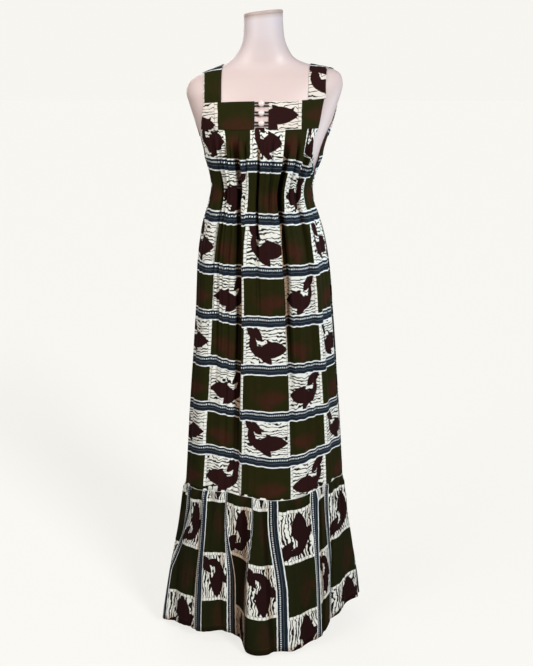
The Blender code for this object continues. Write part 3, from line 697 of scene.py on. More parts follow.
# Each half: its side, its armhole, and how far across and up its square its slit edge and top lie
for word, side, armhole, print_edge, print_top in (
    ("left", -1.0, LEFT_FRONT_ARMHOLE, 0.0890, 0.0900),
    ("right", 1.0, RIGHT_FRONT_ARMHOLE, -0.0780, 0.0715),
):
    rows = []
    for height in np.linspace(NECKLINE_FRONT, YOKE_SEAM_FRONT, 44):
        section = worn_section(height)
        slit = across_angle(SLIT_CENTRE + side * SLIT_HALF_WIDTH, section)
        angles = np.linspace(*sorted((slit, math.radians(smooth(armhole, height, 1)))), 76)
        swell = 0.0007 * np.sin(angles * 23.0 + height * 60.0) * np.sin(angles * 9.0 + 1.0)
        rows.append(leaned(*ring_point(section, angles, YOKE_LIFT + np.abs(swell)), height))
    points = np.array(rows)
    across = running(points)
    if side < 0.0:
        across = across - across[:, -1:]
    up = ROW_PITCH * BAND_SHARE + print_top - running_down(points)
    threads = print_map(across + print_edge + SQUARE_WIDTH, up)
    face = cloth(
        f"yoke_{word}", f"yoke_front_{word}", points, threads, yoke_cotton, 2,
    )
    stitched(face, top=FACED, left=FACED, right=FACED, bottom=0.0020)

# Straps: two wide bands of double cotton over the shoulders, sewn to the front and back yokes.
# Each row is how far along, then the left inner, left outer, right inner and right outer edge
STRAP_EDGES = (
    (0, 0.097, 0.139, 0.106, 0.147), (0.25, 0.0975, 0.14, 0.108, 0.148),
    (0.45, 0.097, 0.143, 0.111, 0.154), (0.55, 0.096, 0.148, 0.111, 0.166),
    (0.75, 0.095, 0.154, 0.105, 0.165), (1, 0.092, 0.156, 0.096, 0.161),
)
NECKLINE_BACK = 1.385


def form_value(x, y, height):
    """One on the torso's surface, more outside it."""
    half_width, front, back, centre = form_section(height)
    depth = np.where(y < 0.0, front, back)
    power = 2.0 / SECTION_POWER
    return (np.abs(x - centre) / half_width) ** power + (np.abs(y) / depth) ** power


def last_place(held, low, high, count, halvings):
    """The last places, between a low and a high one, where a condition still holds."""
    low = np.full(count, low)
    high = np.full(count, high)
    for _ in range(halvings):
        middle = (low + high) / 2.0
        holds = held(middle)
        low = np.where(holds, middle, low)
        high = np.where(holds, high, middle)
    return low


def shoulder_top(x):
    """The heights where the shoulder's ridge crosses distances from the middle."""

    def under(height):
        return form_value(x, np.zeros_like(x), height) < 1.0

    return last_place(under, 1.381, NECK_TOP, len(x), 30)


def over_shoulder(x, along, out):
    """Points across a strap, at a share of the way from the front to the back."""
    ridge = shoulder_top(x)
    tail = NECKLINE_FRONT - 0.0006 if along < 0.5 else NECKLINE_BACK - 0.0006
    height = tail + (ridge - tail) * math.sin(math.pi * along)
    _, front, back, _ = form_section(height)
    inside = np.maximum(1.0 - form_value(x, np.zeros_like(x), height), 0.0) ** (SECTION_POWER / 2.0)
    y = -front * inside if along < 0.5 else back * inside
    step = 0.0004
    normal = np.stack((
        form_value(x + step, y, height) - form_value(x - step, y, height),
        form_value(x, y + step, height) - form_value(x, y - step, height),
        form_value(x, y, height + step) - form_value(x, y, height - step),
    ), axis=-1)
    normal /= np.linalg.norm(normal, axis=1, keepdims=True)
    spot = np.stack((x, y, height), axis=-1) + normal * out[:, None]
    return leaned(spot[:, 0], spot[:, 1], spot[:, 2])


# Each strap: its side, its first column in the table, and where its front end lies on the print
for word, side, first_column, print_across, print_up in (
    ("left", -1.0, 1, -0.0020, ROW_PITCH * (3.0 + BAND_SHARE) + 0.006),
    ("right", 1.0, 3, 2.0 * SQUARE_WIDTH + 0.015, ROW_PITCH * (2.0 + BAND_SHARE) + 0.0005),
):
    rows = []
    across = np.linspace(0.0, 1.0, 34)
    for along in np.linspace(1.0, 0.0, 110):
        inner = smooth(STRAP_EDGES, along, first_column)
        outer = smooth(STRAP_EDGES, along, first_column + 1)
        x = side * (inner + (outer - inner) * (across if side > 0.0 else across[::-1]))
        out = FORM_CLEARANCE + 0.0003 + 0.0004 * np.sin(across * 7.0 + along * 19.0) ** 2
        rows.append(over_shoulder(x, along, out))
    points = np.array(rows)
    over = running_down(points)
    threads = print_map(print_across + running(points), print_up + over[-1:] - over)
    face = cloth(
        f"strap_{word}_band", f"strap_{word}", points, threads, yoke_cotton, 2,
    )
    stitched(face, left=FACED, right=FACED)

# Back yoke: one piece of double cotton between the armholes, faced like the front and sewn to
# the straps and the back of the skirt
YOKE_SEAM_BACK = 1.320
LEFT_SEAM = ((0.400, -89.0), (1.000, -89.0), (1.150, -82.0), (1.230, -75.0), (1.290, -74.0))
RIGHT_SEAM = ((0.400, 89.0), (1.000, 89.0), (1.150, 84.0), (1.230, 77.0))
LEFT_BACK_ARMHOLE = ((1.290, -74.0), (1.300, -83.0), (1.320, -91.0), (1.350, -95.0), (1.385, -99.0))
RIGHT_BACK_ARMHOLE = (
    (1.23, 77), (1.245, 71.5), (1.3, 70), (1.335, 74), (1.36, 86), (1.385, 98),
)


def edge_angle(seam, armhole, height):
    """The angle of a panel's edge: on its side seam up to the underarm, then on its armhole."""
    table = seam if height <= seam[-1][0] else armhole
    return math.radians(smooth(table, height, 1))


def back_edges(height):
    """The back's two edges: at the viewer's right, then a turn on, at the viewer's left."""
    right = edge_angle(RIGHT_SEAM, RIGHT_BACK_ARMHOLE, height)
    return right, math.tau + edge_angle(LEFT_SEAM, LEFT_BACK_ARMHOLE, height)


rows = []
for height in np.linspace(NECKLINE_BACK, YOKE_SEAM_BACK, 44):
    angles = np.linspace(*back_edges(height), 190)
    swell = np.abs(0.0007 * np.sin(angles * 19.0 + height * 50.0) * np.sin(angles * 8.0))
    rows.append(leaned(*ring_point(worn_section(height), angles, SEAM_GAP + YOKE_LIFT + swell), height))
points = np.array(rows)
across = running(points)
up = ROW_PITCH * (1.0 + BAND_SHARE) + 0.0730 - running_down(points)
threads = print_map(across - across[:, 95:96] + 2.5 * SQUARE_WIDTH, up)
face = cloth("yoke_rear", "yoke_back", points, threads, yoke_cotton, 2)
stitched(face, top=FACED, left=FACED, right=FACED, bottom=0.0020)

# Skirt: a front and a back panel of single cotton, gathered into the yokes and hanging free from
# the bust in long uneven folds. Each fold: its angle and half width in degrees, then how far it
# stands out at the yoke, waist, hip, knee and ruffle seam in millimetres
FOLD_HEIGHTS = (1.325, 1.195, 1.000, 0.700, 0.423)
FRONT_FOLDS = (
    (-66, 8, 0, 2, 3, 3, 2), (-53, 7, 2, 4, 5, 6, 4), (-41, 4.5, -2, -4, -5, -6, -3),
    (-31, 5, 2, 4, 1, -2, -2), (-23, 4.5, 0, -2, -4, -7, -4), (-14, 5.5, 3, 5, 7, 7, 4),
    (-5, 4, 0, -1, 0, 0, 0), (5, 6, 3, 4, 4, 3, 2), (20, 4.5, 0, -2, -2, -1, 0),
    (30, 6, 3, 4, 5, 4, 2), (41, 4.5, -2, -5, -4, -2, 0), (52, 7, 2, 4, 7, 8, 5),
    (68, 7, 0, -2, -4, -6, -4),
)
BACK_FOLDS = (
    (112, 8, 0, 4, 6, 6, 4), (125, 5.5, -2, -7, -6, -5, -3), (140, 7, 2, 4, 6, 6, 4),
    (154, 5, -2, -6, -9, -8, -4), (168, 7, 2, 4, 5, 5, 3), (182, 5, -2, -7, -7, -6, -3),
    (197, 7, 2, 4, 6, 5, 3), (210, 5, -2, -6, -10, -8, -5), (223, 7, 2, 4, 6, 6, 4),
    (237, 5.5, -2, -7, -5, -4, -2), (250, 8, 0, 3, 5, 5, 3),
)
# The ruffle and the cloth above it hang uneven: angle in degrees, then how far the hem stands
# out, how far it is raised and how far the seam above it is raised, in millimetres
RUFFLE_FORM = (
    (-180, 0, 0, 0), (-120, 0, 0, 0), (-95, 6, 2, 0), (-80, 5, 11, 0), (-62, -22, 22, 6),
    (-47, -26, 22, 10), (-39, -30, 25, 13), (-27, -39, 32, 17), (-20, -52, 28, 18), (-15.5, -64, 14, 17),
    (-12, -56, 4, 15), (-9.5, -28, 3, 13), (-7, -2, 1, 11), (0, 0, 0, 5), (12, -12, 0, 2),
    (20, -21, 0, 4), (26, -29, 0, 8), (32, -33, 8, 14), (38, -36, 18, 20), (45, -37, 36, 26),
    (54, -43, 47, 32), (66, -42, 58, 31), (80, -20, 78, 24), (95, -4, 60, 14), (120, 0, 24, 4),
    (150, 0, 4, 0), (180, 0, 0, 0),
)
# Narrow pleats drawn in by the gathers, which run down to the hip: angle at the bust and at the
# hip and half width in degrees, then how deep they are at the same heights, in millimetres
FRONT_PLEATS = (
    (-46, -46, 1.7, 6, 10, 5, 2, 0), (-33, -33, 1.5, 14, 2, 0, 0, 0),
    (-22.6, -18, 3.2, 14, 28, 24, 14, 4), (-13, -11, 1.1, 7, 4, 0, 0, 0),
    (-2.2, -2.2, 1.4, 12, 17, 6, 0, 0), (8, 8, 1.2, 7, 4, 0, 0, 0),
    (20.6, 20, 2.9, 14, 28, 20, 4, 1), (32, 32, 1.5, 14, 5, 0, 0, 0),
    (45.5, 45.5, 1.8, 6, 12, 6, 1, 0),
)
BACK_PLEATS = (
    (126, 126, 2.2, 3, 8, 4, 1, 0), (139, 139, 1.6, 3, 5, 2, 0, 0), (154, 156, 2.8, 3, 12, 8, 4, 1),
    (168, 168, 1.6, 3, 5, 1, 0, 0), (183, 183, 2.6, 3, 13, 8, 4, 1), (197, 197, 1.7, 3, 5, 1, 0, 0),
    (211, 208, 2.8, 3, 12, 9, 4, 1), (224, 224, 1.6, 3, 5, 2, 0, 0), (236, 236, 2.2, 3, 8, 4, 1, 0),
)
HEM = 0.012
RUFFLE_SEAM = 0.423
WAIST = 1.180
SKIRT_LIFT_TOP = 0.800
HANG_CLEARANCE = 0.0020
FLAT_UNDER_SEAM = 0.004
FULLNESS = (
    (0.423, 0.0018), (0.6, 0.0024), (0.9, 0.0027), (1.2, 0.003), (1.3, 0.0016), (1.336, 0),
)
# Places across a panel's width, and the degrees from its middle where the inner two hang
PANEL_SHARES = (0.0, 0.15, 0.85, 1.0)
PANEL_INNER = 48.0


def depth_at(depths, height):
    """A fold's depth at a height, from its millimetres at the fold heights."""
    return 0.001 * smooth(tuple(zip(FOLD_HEIGHTS[::-1], depths[::-1])), height, 1)


def hump(value, centre, width, power=2):
    """A rise to 1 where a value is at a centre, with a flatter top for a higher power."""
    return np.exp(-(((value - centre) / width) ** power))


def fold_out(folds, angle, height):
    """How far the long folds move the cloth at angles and a height."""
    out = np.zeros_like(angle)
    for centre, width, *depths in folds:
        out += depth_at(depths, height) * hump(np.degrees(angle), centre, width)
    return out


def pleat_in(pleats, angle, height):
    """How far the narrow pleats draw the cloth in: flat floors between steep sides."""
    deep = np.zeros_like(angle)
    for at_bust, at_hip, width, *depths in pleats:
        centre = at_bust + (at_hip - at_bust) * ease((1.210 - height) / 0.160)
        deep += max(float(depth_at(depths, height)), 0.0) * hump(np.degrees(angle), centre, width, 6)
    return deep


def fullness_out(u, height, count, seed):
    """The soft upright ripples of cloth that is wider than its seams, uneven and wandering."""
    first, second, third = np.random.default_rng(seed).uniform(0.0, math.tau, 3)
    phase = math.tau * count * u + 1.6 * np.sin(9.0 * u + first) + 0.9 * np.sin(31.0 * u + second)
    phase = phase + 0.7 * np.sin(6.0 * height + 5.0 * u + third)
    size = 0.55 + 0.45 * np.sin(17.0 * u + 4.0 * height + second)
    return size * np.cos(phase) + 0.6 * np.cos(phase * 0.618 + third + 2.0 * height)


def gather_out(turn, below):
    """The puff and small gathers under a yoke seam, gone at the armholes and the waist."""
    edge = 1.0 - ease((np.abs(turn) - 0.70) / 0.30)
    phase = math.pi * 13 * (turn + 0.035 * np.sin(5.0 * turn + 1.0))
    loose = below - FLAT_UNDER_SEAM
    gathers = 0.0042 * ease(loose / 0.022) * (1.0 - ease((below - 0.05) / 0.16))
    puff = 0.0050 * ease(loose / 0.050) * (1.0 - ease((below - 0.06) / 0.10))
    return edge * (gathers * np.cos(phase) + puff)


def formed(angle, column):
    """A column of the ruffle's uneven form at angles."""
    turn = np.remainder(angle + math.pi, math.tau) - math.pi
    return 0.001 * smooth(RUFFLE_FORM, np.degrees(turn), column)


def room(section, angle, height):
    """How far inwards from a section the torso's clearance begins, nothing where it is on it."""

    def free(inwards):
        x, y = ring_point(section, angle, -inwards - FORM_CLEARANCE)
        return (height < TORSO_BOTTOM) | (form_value(x, y, height) > 1.0)

    return last_place(free, -0.010, 0.040, len(angle), 16)


def creased(*groups):
    """A table of scattered creases: angle, drift, half width, top, bottom and depth. Each group is
    its seed, its count and the limits of their angles, tops, bottoms, widths, depths and drift."""
    table = []
    for seed, count, angles, tops, bottoms, widths, depths, drift in groups:
        draw = np.random.default_rng(seed)
        columns = (angles, (-drift, drift), widths, tops, bottoms, depths)
        table.append(np.stack([draw.uniform(*limits, count) for limits in columns], axis=1))
    return np.concatenate(table)


def crease_out(creases, angle, height):
    """How far the creases move the cloth: each sets in at its top and dies out at its bottom."""
    start, drift, width, top, bottom, depth = creases.T
    t = (top - height) / (top - bottom)
    strength = 0.001 * depth * ease(t / 0.15) * (1.0 - ease((t - 0.35) / 0.65))
    return (hump(np.degrees(angle)[:, None] - start, drift * t, width) * strength).sum(axis=1)


def spread_degrees(u):
    """The angles from a panel's middle where shares of its width hang."""
    return np.interp(u, PANEL_SHARES, (-90.0, -PANEL_INNER, PANEL_INNER, 90.0))


def panel_rows(seam, middle, rows, columns, edges, folds, pleats, creases):
    """A skirt panel's heights, closer above the waist, and its points, columns that are closer at
    the pleats: their share of the way across and how much painted shade darkens them in the
    deep pleats come with them."""
    upper = np.linspace(seam + 0.005, WAIST, 56)[:-1]
    heights = np.concatenate((upper, np.linspace(WAIST, RUFFLE_SEAM - 0.0002, rows)))
    even = np.linspace(0.0, 1.0, 3000)
    spread = np.degrees(middle) + spread_degrees(even)
    closeness = 1.0
    for at_bust, at_hip, width, *_ in pleats:
        reach = 1.5 * width + abs(at_hip - at_bust) / 2.0
        closeness = closeness + 1.6 * hump(spread, (at_bust + at_hip) / 2.0, reach, 4)
    passed = np.cumsum(closeness)
    u = np.interp(np.linspace(passed[0], passed[-1], columns), passed, even)
    inner = math.radians(PANEL_INNER)
    hollow = []
    points = []
    for height in heights:
        left, right = edges(height)
        section = worn_section(height)
        gap = SEAM_GAP / section[0]
        marks = (left + gap, middle - inner, middle + inner, right - gap)
        angle = np.interp(u, PANEL_SHARES, marks)
        below = seam - height
        free = ease((below - FLAT_UNDER_SEAM) / 0.050)
        deep = pleat_in(pleats, angle, height) * free
        # Painted shade on the floors of the deep pleats
        hollow.append(ease((deep - 0.004) / 0.010))
        out = fold_out(folds, angle, height) * free - deep
        out += gather_out((angle - middle) / math.radians(58.0), below) + crease_out(creases, angle, height)
        out += smooth(FULLNESS, height, 1) * free * fullness_out(u, height, 22, round(seam * 1000))
        out = np.maximum(out, (HANG_CLEARANCE - FORM_CLEARANCE) * free - room(section, angle, height))
        lift = ease((SKIRT_LIFT_TOP - height) / (SKIRT_LIFT_TOP - RUFFLE_SEAM))
        points.append(leaned(*ring_point(section, angle, out), height + formed(angle, 3) * lift))
    return heights[:, None], np.array(points), u, np.array(hollow)


def across_print(points, place, marks, values):
    """The print's coordinate across a grid of cloth: by the cloth's own length along each row,
    evened out down the rows, and fitted to the places where the print's lines come."""
    share = running(points)
    share = share / share[:, -1:]
    reach = 12
    padded = np.concatenate((np.repeat(share[:1], reach, 0), share, np.repeat(share[-1:], reach, 0)))
    total = np.cumsum(np.concatenate((np.zeros((1, share.shape[1])), padded)), axis=0)
    share = (total[2 * reach + 1 :] - total[: -2 * reach - 1]) / (2 * reach + 1)
    marks = np.broadcast_to(marks, (len(share), len(values)))
    return np.array([np.interp(row, np.interp(at, place, row), values) for row, at in zip(share, marks)])


# The print on the skirt: heights with their row of squares, counted down from the bust band, and
# the shares of the front's width where its lines come, at the waist, the bust and the yoke
PRINT_ROWS = (
    (0.423, -6.81), (0.523, -6), (0.642, -5), (0.764, -4), (0.884, -3), (1.006, -2), (1.132, -1),
    (1.258, 0), (1.34, 0.65), (1.35, 0.73),
)
PRINT_COLUMNS = (-1.92, -1.0, 0.0, 1.0, 2.0, 2.95)
COLUMNS_AT_WAIST = np.array((0.0, 0.165, 0.408, 0.635, 0.853, 1.0))
COLUMNS_AT_BUST = np.array((0.0, 0.160, 0.420, 0.683, 0.880, 1.0))
COLUMNS_AT_YOKE = np.array((0.0, 0.270, 0.437, 0.625, 0.780, 1.0))
# The pleats pull the print up or down beside them, in millimetres, from the left to the right
PLEAT_STEPS = (-1.5, 1.5, 1.2, -2.2, 1.8, 1.6, -2.6, 1.4, -1.6)


def front_edges(height):
    """The front's two edges, at the viewer's left and right."""
    left = edge_angle(LEFT_SEAM, LEFT_FRONT_ARMHOLE, height)
    return left, edge_angle(RIGHT_SEAM, RIGHT_FRONT_ARMHOLE, height)


creases = creased(
    (11, 64, (-62.0, 56.0), (1.334, 1.338), (1.205, 1.300), (0.4, 1.1), (-3.2, 1.8), 3.0),
    (12, 30, (-84.0, 84.0), (0.900, 1.250), (0.430, 0.750), (1.4, 3.2), (-3.4, 2.6), 5.0),
)
height, points, u, hollow = panel_rows(
    YOKE_SEAM_FRONT, 0.0, 82, 300, front_edges, FRONT_FOLDS, FRONT_PLEATS, creases
)
marks = COLUMNS_AT_WAIST + (COLUMNS_AT_BUST - COLUMNS_AT_WAIST) * ease((height - 1.060) / 0.120)
marks = marks + (COLUMNS_AT_YOKE - marks) * ease((height - 1.266) / 0.020)
across = across_print(points, u, marks, PRINT_COLUMNS)
droop = 0.020 * hump(u, 0.88, 0.10) * ease((height - 1.16) / 0.08)
pulled = sum(
    0.001 * step * ease((spread_degrees(u) - row[0]) / row[2] + 0.5)
    for row, step in zip(FRONT_PLEATS, PLEAT_STEPS)
)
pulled = pulled * ease((height - 0.780) / 0.300)
raised = 0.012 * hump(u, 0.20, 0.13) * ease((1.020 - height) / 0.200)
up = smooth(PRINT_ROWS, height + droop + pulled - raised, 1) + BAND_SHARE / 2.0
threads = print_map(across * SQUARE_WIDTH, up * ROW_PITCH)
face = cloth(
    "skirt_front_panel", "skirt_front", points, threads, cotton, 1,
    hollow=hollow,
)
stitched(face[3 : int(np.sum(height > 1.290))], left=FACED)
stitched(face[3 : int(np.sum(height > 1.230))], right=FACED)

creases = creased(
    (21, 46, (122.0, 238.0), (1.314, 1.318), (1.200, 1.290), (0.5, 1.3), (-2.0, 1.8), 3.0),
    (22, 28, (96.0, 264.0), (0.900, 1.220), (0.430, 0.750), (1.4, 3.2), (-3.2, 2.6), 5.0),
)
height, points, u, hollow = panel_rows(
    YOKE_SEAM_BACK, math.pi, 90, 200, back_edges, BACK_FOLDS, BACK_PLEATS, creases
)
across = across_print(points, u, (0.0, 1.0), (1.15, 5.85))
up = smooth(PRINT_ROWS, height, 1) + BAND_SHARE / 2.0
threads = print_map(across * SQUARE_WIDTH, up * ROW_PITCH)
cloth(
    "skirt_rear_panel", "skirt_back", points, threads, cotton, 1,
    hollow=hollow,
)

# Ruffle: a deep strip of single cotton, cut with the print turned a quarter, gathered into the
# skirt's lower edge and hemmed. Its rows are height, half width, front and back
RUFFLE_SECTIONS = (
    (0.012, 0.264, 0.191, 0.191), (0.06, 0.259, 0.187, 0.187), (0.13, 0.25, 0.181, 0.181),
    (0.2, 0.24, 0.173, 0.173), (0.28, 0.227, 0.164, 0.164), (0.34, 0.218, 0.157, 0.157),
    (0.385, 0.2125, 0.153, 0.153), (0.41, 0.2095, 0.15, 0.15), (0.423, 0.2064, 0.1479, 0.1481),
)
# The ruffle's hollows: angle at the top and at the hem and half width in degrees, how far down
# each sets in, how dark its painted shade is and how many millimetres deeper than the form above
RUFFLE_HOLLOWS = (
    (-14.8, -14.8, 4.6, 0.5, 1, 0), (-9.7, -9.7, 2.6, 0.12, 1, 0), (-47.2, -46.6, 1.5, 0.25, 0.75, 3),
    (-26.4, -24.4, 1.3, 0.2, 0.6, 2), (0.9, 5, 1.4, 0.12, 0.85, 3.5), (41.9, 40.6, 1.3, 0.2, 0.85, 3.5),
    (57, 52, 1.3, 0.6, 0.6, 3),
)
# The print on the ruffle: rows of squares, now counted to the viewer's left, with the angle where
# each comes under the seam and at the hem. Most of one band is folded away at the top
PRINT_TURNS = np.array((
    (3.3, -89, -89), (3.14, -68, -80.5), (2.86, -61, -77), (2, -43, -43), (1.14, -24.6, -21.6),
    (0.86, -23.6, -15.4), (0.48, -12.6, -12), (0.13, -5.4, -9.1), (-0.13, -4.8, -8.3), (-0.86, 2.6, 7),
    (-1.14, 10, 14.8), (-1.86, 33.4, 35), (-2.14, 40.2, 38.4), (-2.86, 46.8, 49), (-3.14, 51.2, 53),
    (-3.95, 89, 89), (-4.95, 116, 116), (-5.95, 143, 143), (-6.95, 170, 170), (-7.95, 197, 197),
    (-8.95, 224, 224), (-9.95, 251, 251), (-10.65, 271, 271),
))


def wave_out(angle, drop):
    """The ruffle's waves, deep at the hem, and its fine gathers under the seam."""
    deep = 0.0015 + 0.0125 * drop**0.8
    phase = 17.0 * angle + 0.9 * np.sin(2.0 * angle + 0.4) + 0.5 * np.sin(5.0 * angle)
    uneven = 1.0 + 0.28 * np.sin(3.0 * angle + 0.7)
    uneven = uneven * (0.35 + 0.65 * ease(0.5 - np.cos(angle)))
    gathers = 0.0030 * ease(drop / 0.05) * (1.0 - ease((drop - 0.08) / 0.30))
    return ease(drop / 0.06) * deep * uneven * np.cos(phase) + gathers * np.cos(26.0 * angle + 0.6)


def ruffle_rows(heights, angle, folds, creases):
    """A ruffle half's points at angles, tucked behind the skirt at its top, and how much painted
    shade darkens them, in the waves' valleys, the hollows and along the hem, and a little more
    towards the hem."""
    points = []
    hollow = []
    for height in heights:
        section = (*section_at(RUFFLE_SECTIONS, height), 0.0)
        drop = max((RUFFLE_SEAM - height) / (RUFFLE_SEAM - HEM), 0.0)
        wave = wave_out(angle, drop)
        # Painted shade in the waves' valleys, and a painted shade that deepens towards the hem
        row_shade = np.maximum(0.32 * ease(-wave / (0.0020 + 0.0080 * drop)), 0.12 * drop)
        # A band of painted shadow along the hem, where the cloth turns under
        row_shade = np.maximum(row_shade, 0.7 * ease((drop - 0.955) / 0.025))
        out = wave + (1.0 - ease(drop / 0.40)) * fold_out(folds, angle, RUFFLE_SEAM)
        for at_top, at_hem, width, sets_in, shade_darkness, depth in RUFFLE_HOLLOWS:
            turned = (at_hem - at_top) * drop
            deep = ease(drop / sets_in) * hump(np.degrees(angle) - at_top, turned, width, 4)
            # Painted shade in each hollow, as dark as the table gives
            row_shade = np.maximum(row_shade, shade_darkness * deep)
            out -= 0.001 * depth * deep
        hollow.append(row_shade)
        out += formed(angle, 1) * drop**1.2 + crease_out(creases, angle, height)
        out -= 0.0011 * (1.0 - ease(drop / 0.012))
        lift = formed(angle, 2) * drop + formed(angle, 3) * (1.0 - drop)
        points.append(leaned(*ring_point(section, angle, out), height + lift))
    return np.array(points), np.array(hollow)


def across_turned(height):
    """How far across the turned print a height on the ruffle lies."""
    return (height - 0.250) * 1.01


# The ruffle's cotton has a darker olive ground and darker fish than the skirt's: painted shade for the
# ruffle, which hangs lower and gets less light
edged_cotton = print_cotton(
    "wax_print_cotton_with_selvedge_in_painted_shade",
    selvedge=across_turned(RUFFLE_SEAM - 0.0022),
    Ground=(0.0115, 0.0125, 0.0040, 1.0),
    Fish=(0.018, 0.0056, 0.0054, 1.0),
    Ripples=0.70,
    Rust=0.45,
)
heights = np.linspace(RUFFLE_SEAM + 0.0030, HEM, 92)
fallen = np.clip((RUFFLE_SEAM - heights[:, None]) / (RUFFLE_SEAM - HEM), 0.0, 1.0)
for word, node, side, middle, folds, seed in (
    ("front", "front", 88.95, 0.0, FRONT_FOLDS, 31),
    ("rear", "back", 91.05, 180.0, BACK_FOLDS, 32),
):
    reach = (middle - side + 3.0, middle + side - 3.0)
    creases = creased(
        (seed, 60, reach, (0.416, 0.421), (0.250, 0.390), (0.5, 1.3), (-3.0, 2.2), 3.0),
        (seed + 9, 34, reach, (0.150, 0.400), (-0.300, -0.050), (1.2, 2.8), (-4.0, 3.4), 5.0),
    )
    angle = np.radians(np.linspace(middle - side, middle + side, 250))
    points, hollow = ruffle_rows(heights, angle, folds, creases)
    row, under_seam, at_hem = PRINT_TURNS[np.abs(PRINT_TURNS[:, 1] - middle) < side + 1.0].T
    print_angles = np.radians(under_seam + (at_hem - under_seam) * ease((fallen - 0.12) / 0.52))
    up = across_print(points, angle, print_angles, row) + BAND_SHARE / 2.0
    threads = print_map(across_turned(heights[:, None]), up * ROW_PITCH)
    face = cloth(
        f"ruffle_{word}_half", f"ruffle_{node}", points, threads, edged_cotton, 1,
        hollow=hollow,
    )
    stitched(face, bottom=0.018)

# Stitching: running stitches of dark thread along the faced edges, the yoke seams and the hem,
# laid along each line and kept as one plain mesh
stitch_group, given, end = group_tree(
    "running_stitch",
    (
        ("Lines", "Geometry", None),
        ("Spacing", "Float", 0.0034),
        ("Length", "Float", 0.0024),
        ("Thickness", "Float", 0.00032),
        ("Thread", "Material", None),
    ),
    (("Stitches", "Geometry"),),
    kind="GeometryNodeTree",
)
route = made(stitch_group, "GeometryNodeMeshToCurve", "Curve", {"Mesh": given["Lines"]})
route = {"Curve": route, "Length": given["Spacing"]}
spots = made(stitch_group, "GeometryNodeCurveToPoints", "Points", route, mode="LENGTH")
bead = made(stitch_group, "GeometryNodeMeshUVSphere", "Mesh", {"Segments": 6, "Rings": 4, "Radius": 0.5})
thick = given["Thickness"]
sown = {
    "Points": spots,
    "Instance": bead,
    "Rotation": spots.beside("Rotation"),
    "Scale": made(stitch_group, "ShaderNodeCombineXYZ", 0, {"X": thick, "Y": thick, "Z": given["Length"]}),
}
sown = made(stitch_group, "GeometryNodeInstanceOnPoints", "Instances", sown)
real = made(stitch_group, "GeometryNodeRealizeInstances", "Geometry", {"Geometry": sown})
dyed = {"Geometry": real, "Material": given["Thread"]}
join(made(stitch_group, "GeometryNodeSetMaterial", "Geometry", dyed), end.inputs["Stitches"])

thread_finish, _ = grained(
    "dark_sewing_thread", {"Roughness": 0.7}, Scale=2600.0, Detail=1.0,
    Dark=(0.020, 0.016, 0.012), Light=(0.060, 0.050, 0.040), Relief=0.0001, Strength=0.5,
)
line_mesh = bpy.data.meshes.new("stitching")
line_points = np.concatenate(seam_lines)
ends = set(np.cumsum([len(line) for line in seam_lines]).tolist())
line_edges = [(k, k + 1) for k in range(len(line_points) - 1) if k + 1 not in ends]
line_mesh.from_pydata(line_points.tolist(), line_edges, [])
lines = shown("seam_lines", line_mesh)
sewing = lines.modifiers.new("sewing", "NODES")
sewing.node_group = stitch_group
for socket in stitch_group.interface.items_tree:
    if socket.name == "Thread":
        sewing[socket.identifier] = thread_finish


def plain_mesh(drawn):
    """The mesh that an object's modifiers or curve make. The object itself is taken away."""
    mesh = bpy.data.meshes.new_from_object(drawn.evaluated_get(bpy.context.evaluated_depsgraph_get()))
    bpy.data.objects.remove(drawn, do_unlink=True)
    return mesh


placed("stitching", plain_mesh(lines), thread_finish, "print_cotton")

# Closure: three pearl ball buttons of pressed plastic in the slit, each held from both sides by
# a loop of dark cotton rouleau cord, whose ends are sewn along the yoke halves' slit edges
BUTTON_HEIGHTS = (1.397, 1.376, 1.353)
BUTTON_RADIUS = 0.0075
BUTTON_FLATNESS = 0.66
BUTTON_DIP = 0.0006
LOOP_CORD = 0.0036
LOOP_HEIGHT = 0.0110
LOOP_END = 0.0022

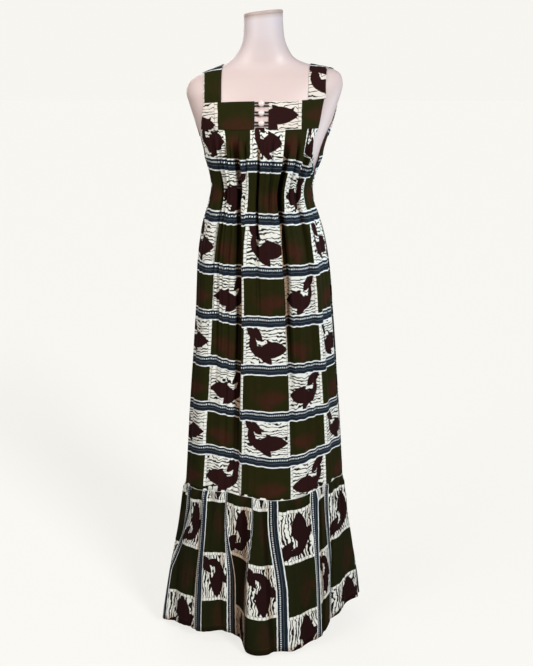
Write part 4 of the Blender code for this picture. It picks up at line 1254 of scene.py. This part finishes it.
pearl, _ = grained(
    "pearl_button", {"Roughness": 0.22, "Coat Weight": 0.5, "Coat Roughness": 0.10}, Scale=260.0,
    Detail=3.0, Dark=(0.78, 0.62, 0.58), Light=(0.90, 0.80, 0.77), Relief=0.00008, Strength=0.4,
)
rouleau, _ = grained(
    "dark_rouleau_cotton", {"Roughness": 0.85}, Scale=1500.0, Detail=2.0,
    Dark=(0.022, 0.010, 0.009), Light=(0.050, 0.030, 0.024), Relief=0.00025, Strength=0.6,
)
right = Vector((1.0, 0.0, 0.0))
leg = (LOOP_HEIGHT - LOOP_CORD) / 2.0
reach = LOOP_END + LOOP_CORD / 2.0 + leg
foot = SLIT_HALF_WIDTH + 0.0015
bend = np.linspace(math.pi / 2.0, math.pi * 1.5, 22)
loop_route = [(foot, leg, -0.0004), *((reach + leg * math.cos(a), leg * math.sin(a), 0.0) for a in bend)]
loop_route.append((foot, -leg, -0.0004))
for k, height in enumerate(BUTTON_HEIGHTS, start=1):
    low, high = (
        Vector(leaned(*ring_point(worn_section(level), 0.0), level))
        for level in (height - 0.002, height + 0.002)
    )
    up = (high - low).normalized()
    out = right.cross(up).normalized()
    middle = Vector((SLIT_CENTRE, (low.y + high.y) / 2.0, (low.z + high.z) / 2.0))
    ball_centre = middle + out * (LOOP_CORD - BUTTON_DIP + BUTTON_RADIUS * BUTTON_FLATNESS)
    turn = Matrix((right, up, out)).transposed().to_4x4()
    shape = Matrix.Translation(ball_centre) @ turn @ Matrix.Diagonal((1.0, 1.0, BUTTON_FLATNESS, 1.0))
    ball = bmesh.new()
    bmesh.ops.create_uvsphere(ball, u_segments=48, v_segments=28, radius=BUTTON_RADIUS, matrix=shape)
    ball_mesh = bpy.data.meshes.new(f"ball_button_{k}")
    ball.to_mesh(ball_mesh)
    ball.free()
    placed(f"ball_button_{k}", ball_mesh, pearl, "button_pearl", f"button_{k}")
    for word, side in (("left", -1.0), ("right", 1.0)):
        curve = bpy.data.curves.new("rouleau", "CURVE")
        curve.dimensions = "3D"
        curve.bevel_depth = LOOP_CORD / 2.0
        curve.bevel_resolution = 5
        curve.use_fill_caps = True
        line = curve.splines.new("POLY")
        line.points.add(len(loop_route) - 1)
        for spot, (x, y, z) in zip(line.points, loop_route):
            spot.co = (*(middle + right * (side * x) + up * y + out * (LOOP_CORD / 2.0 + z)), 1.0)
        loop_mesh = plain_mesh(shown("rouleau", curve))
        placed(f"rouleau_loop_{word}_{k}", loop_mesh, rouleau, "loop_cord", f"loop_{word}_{k}")
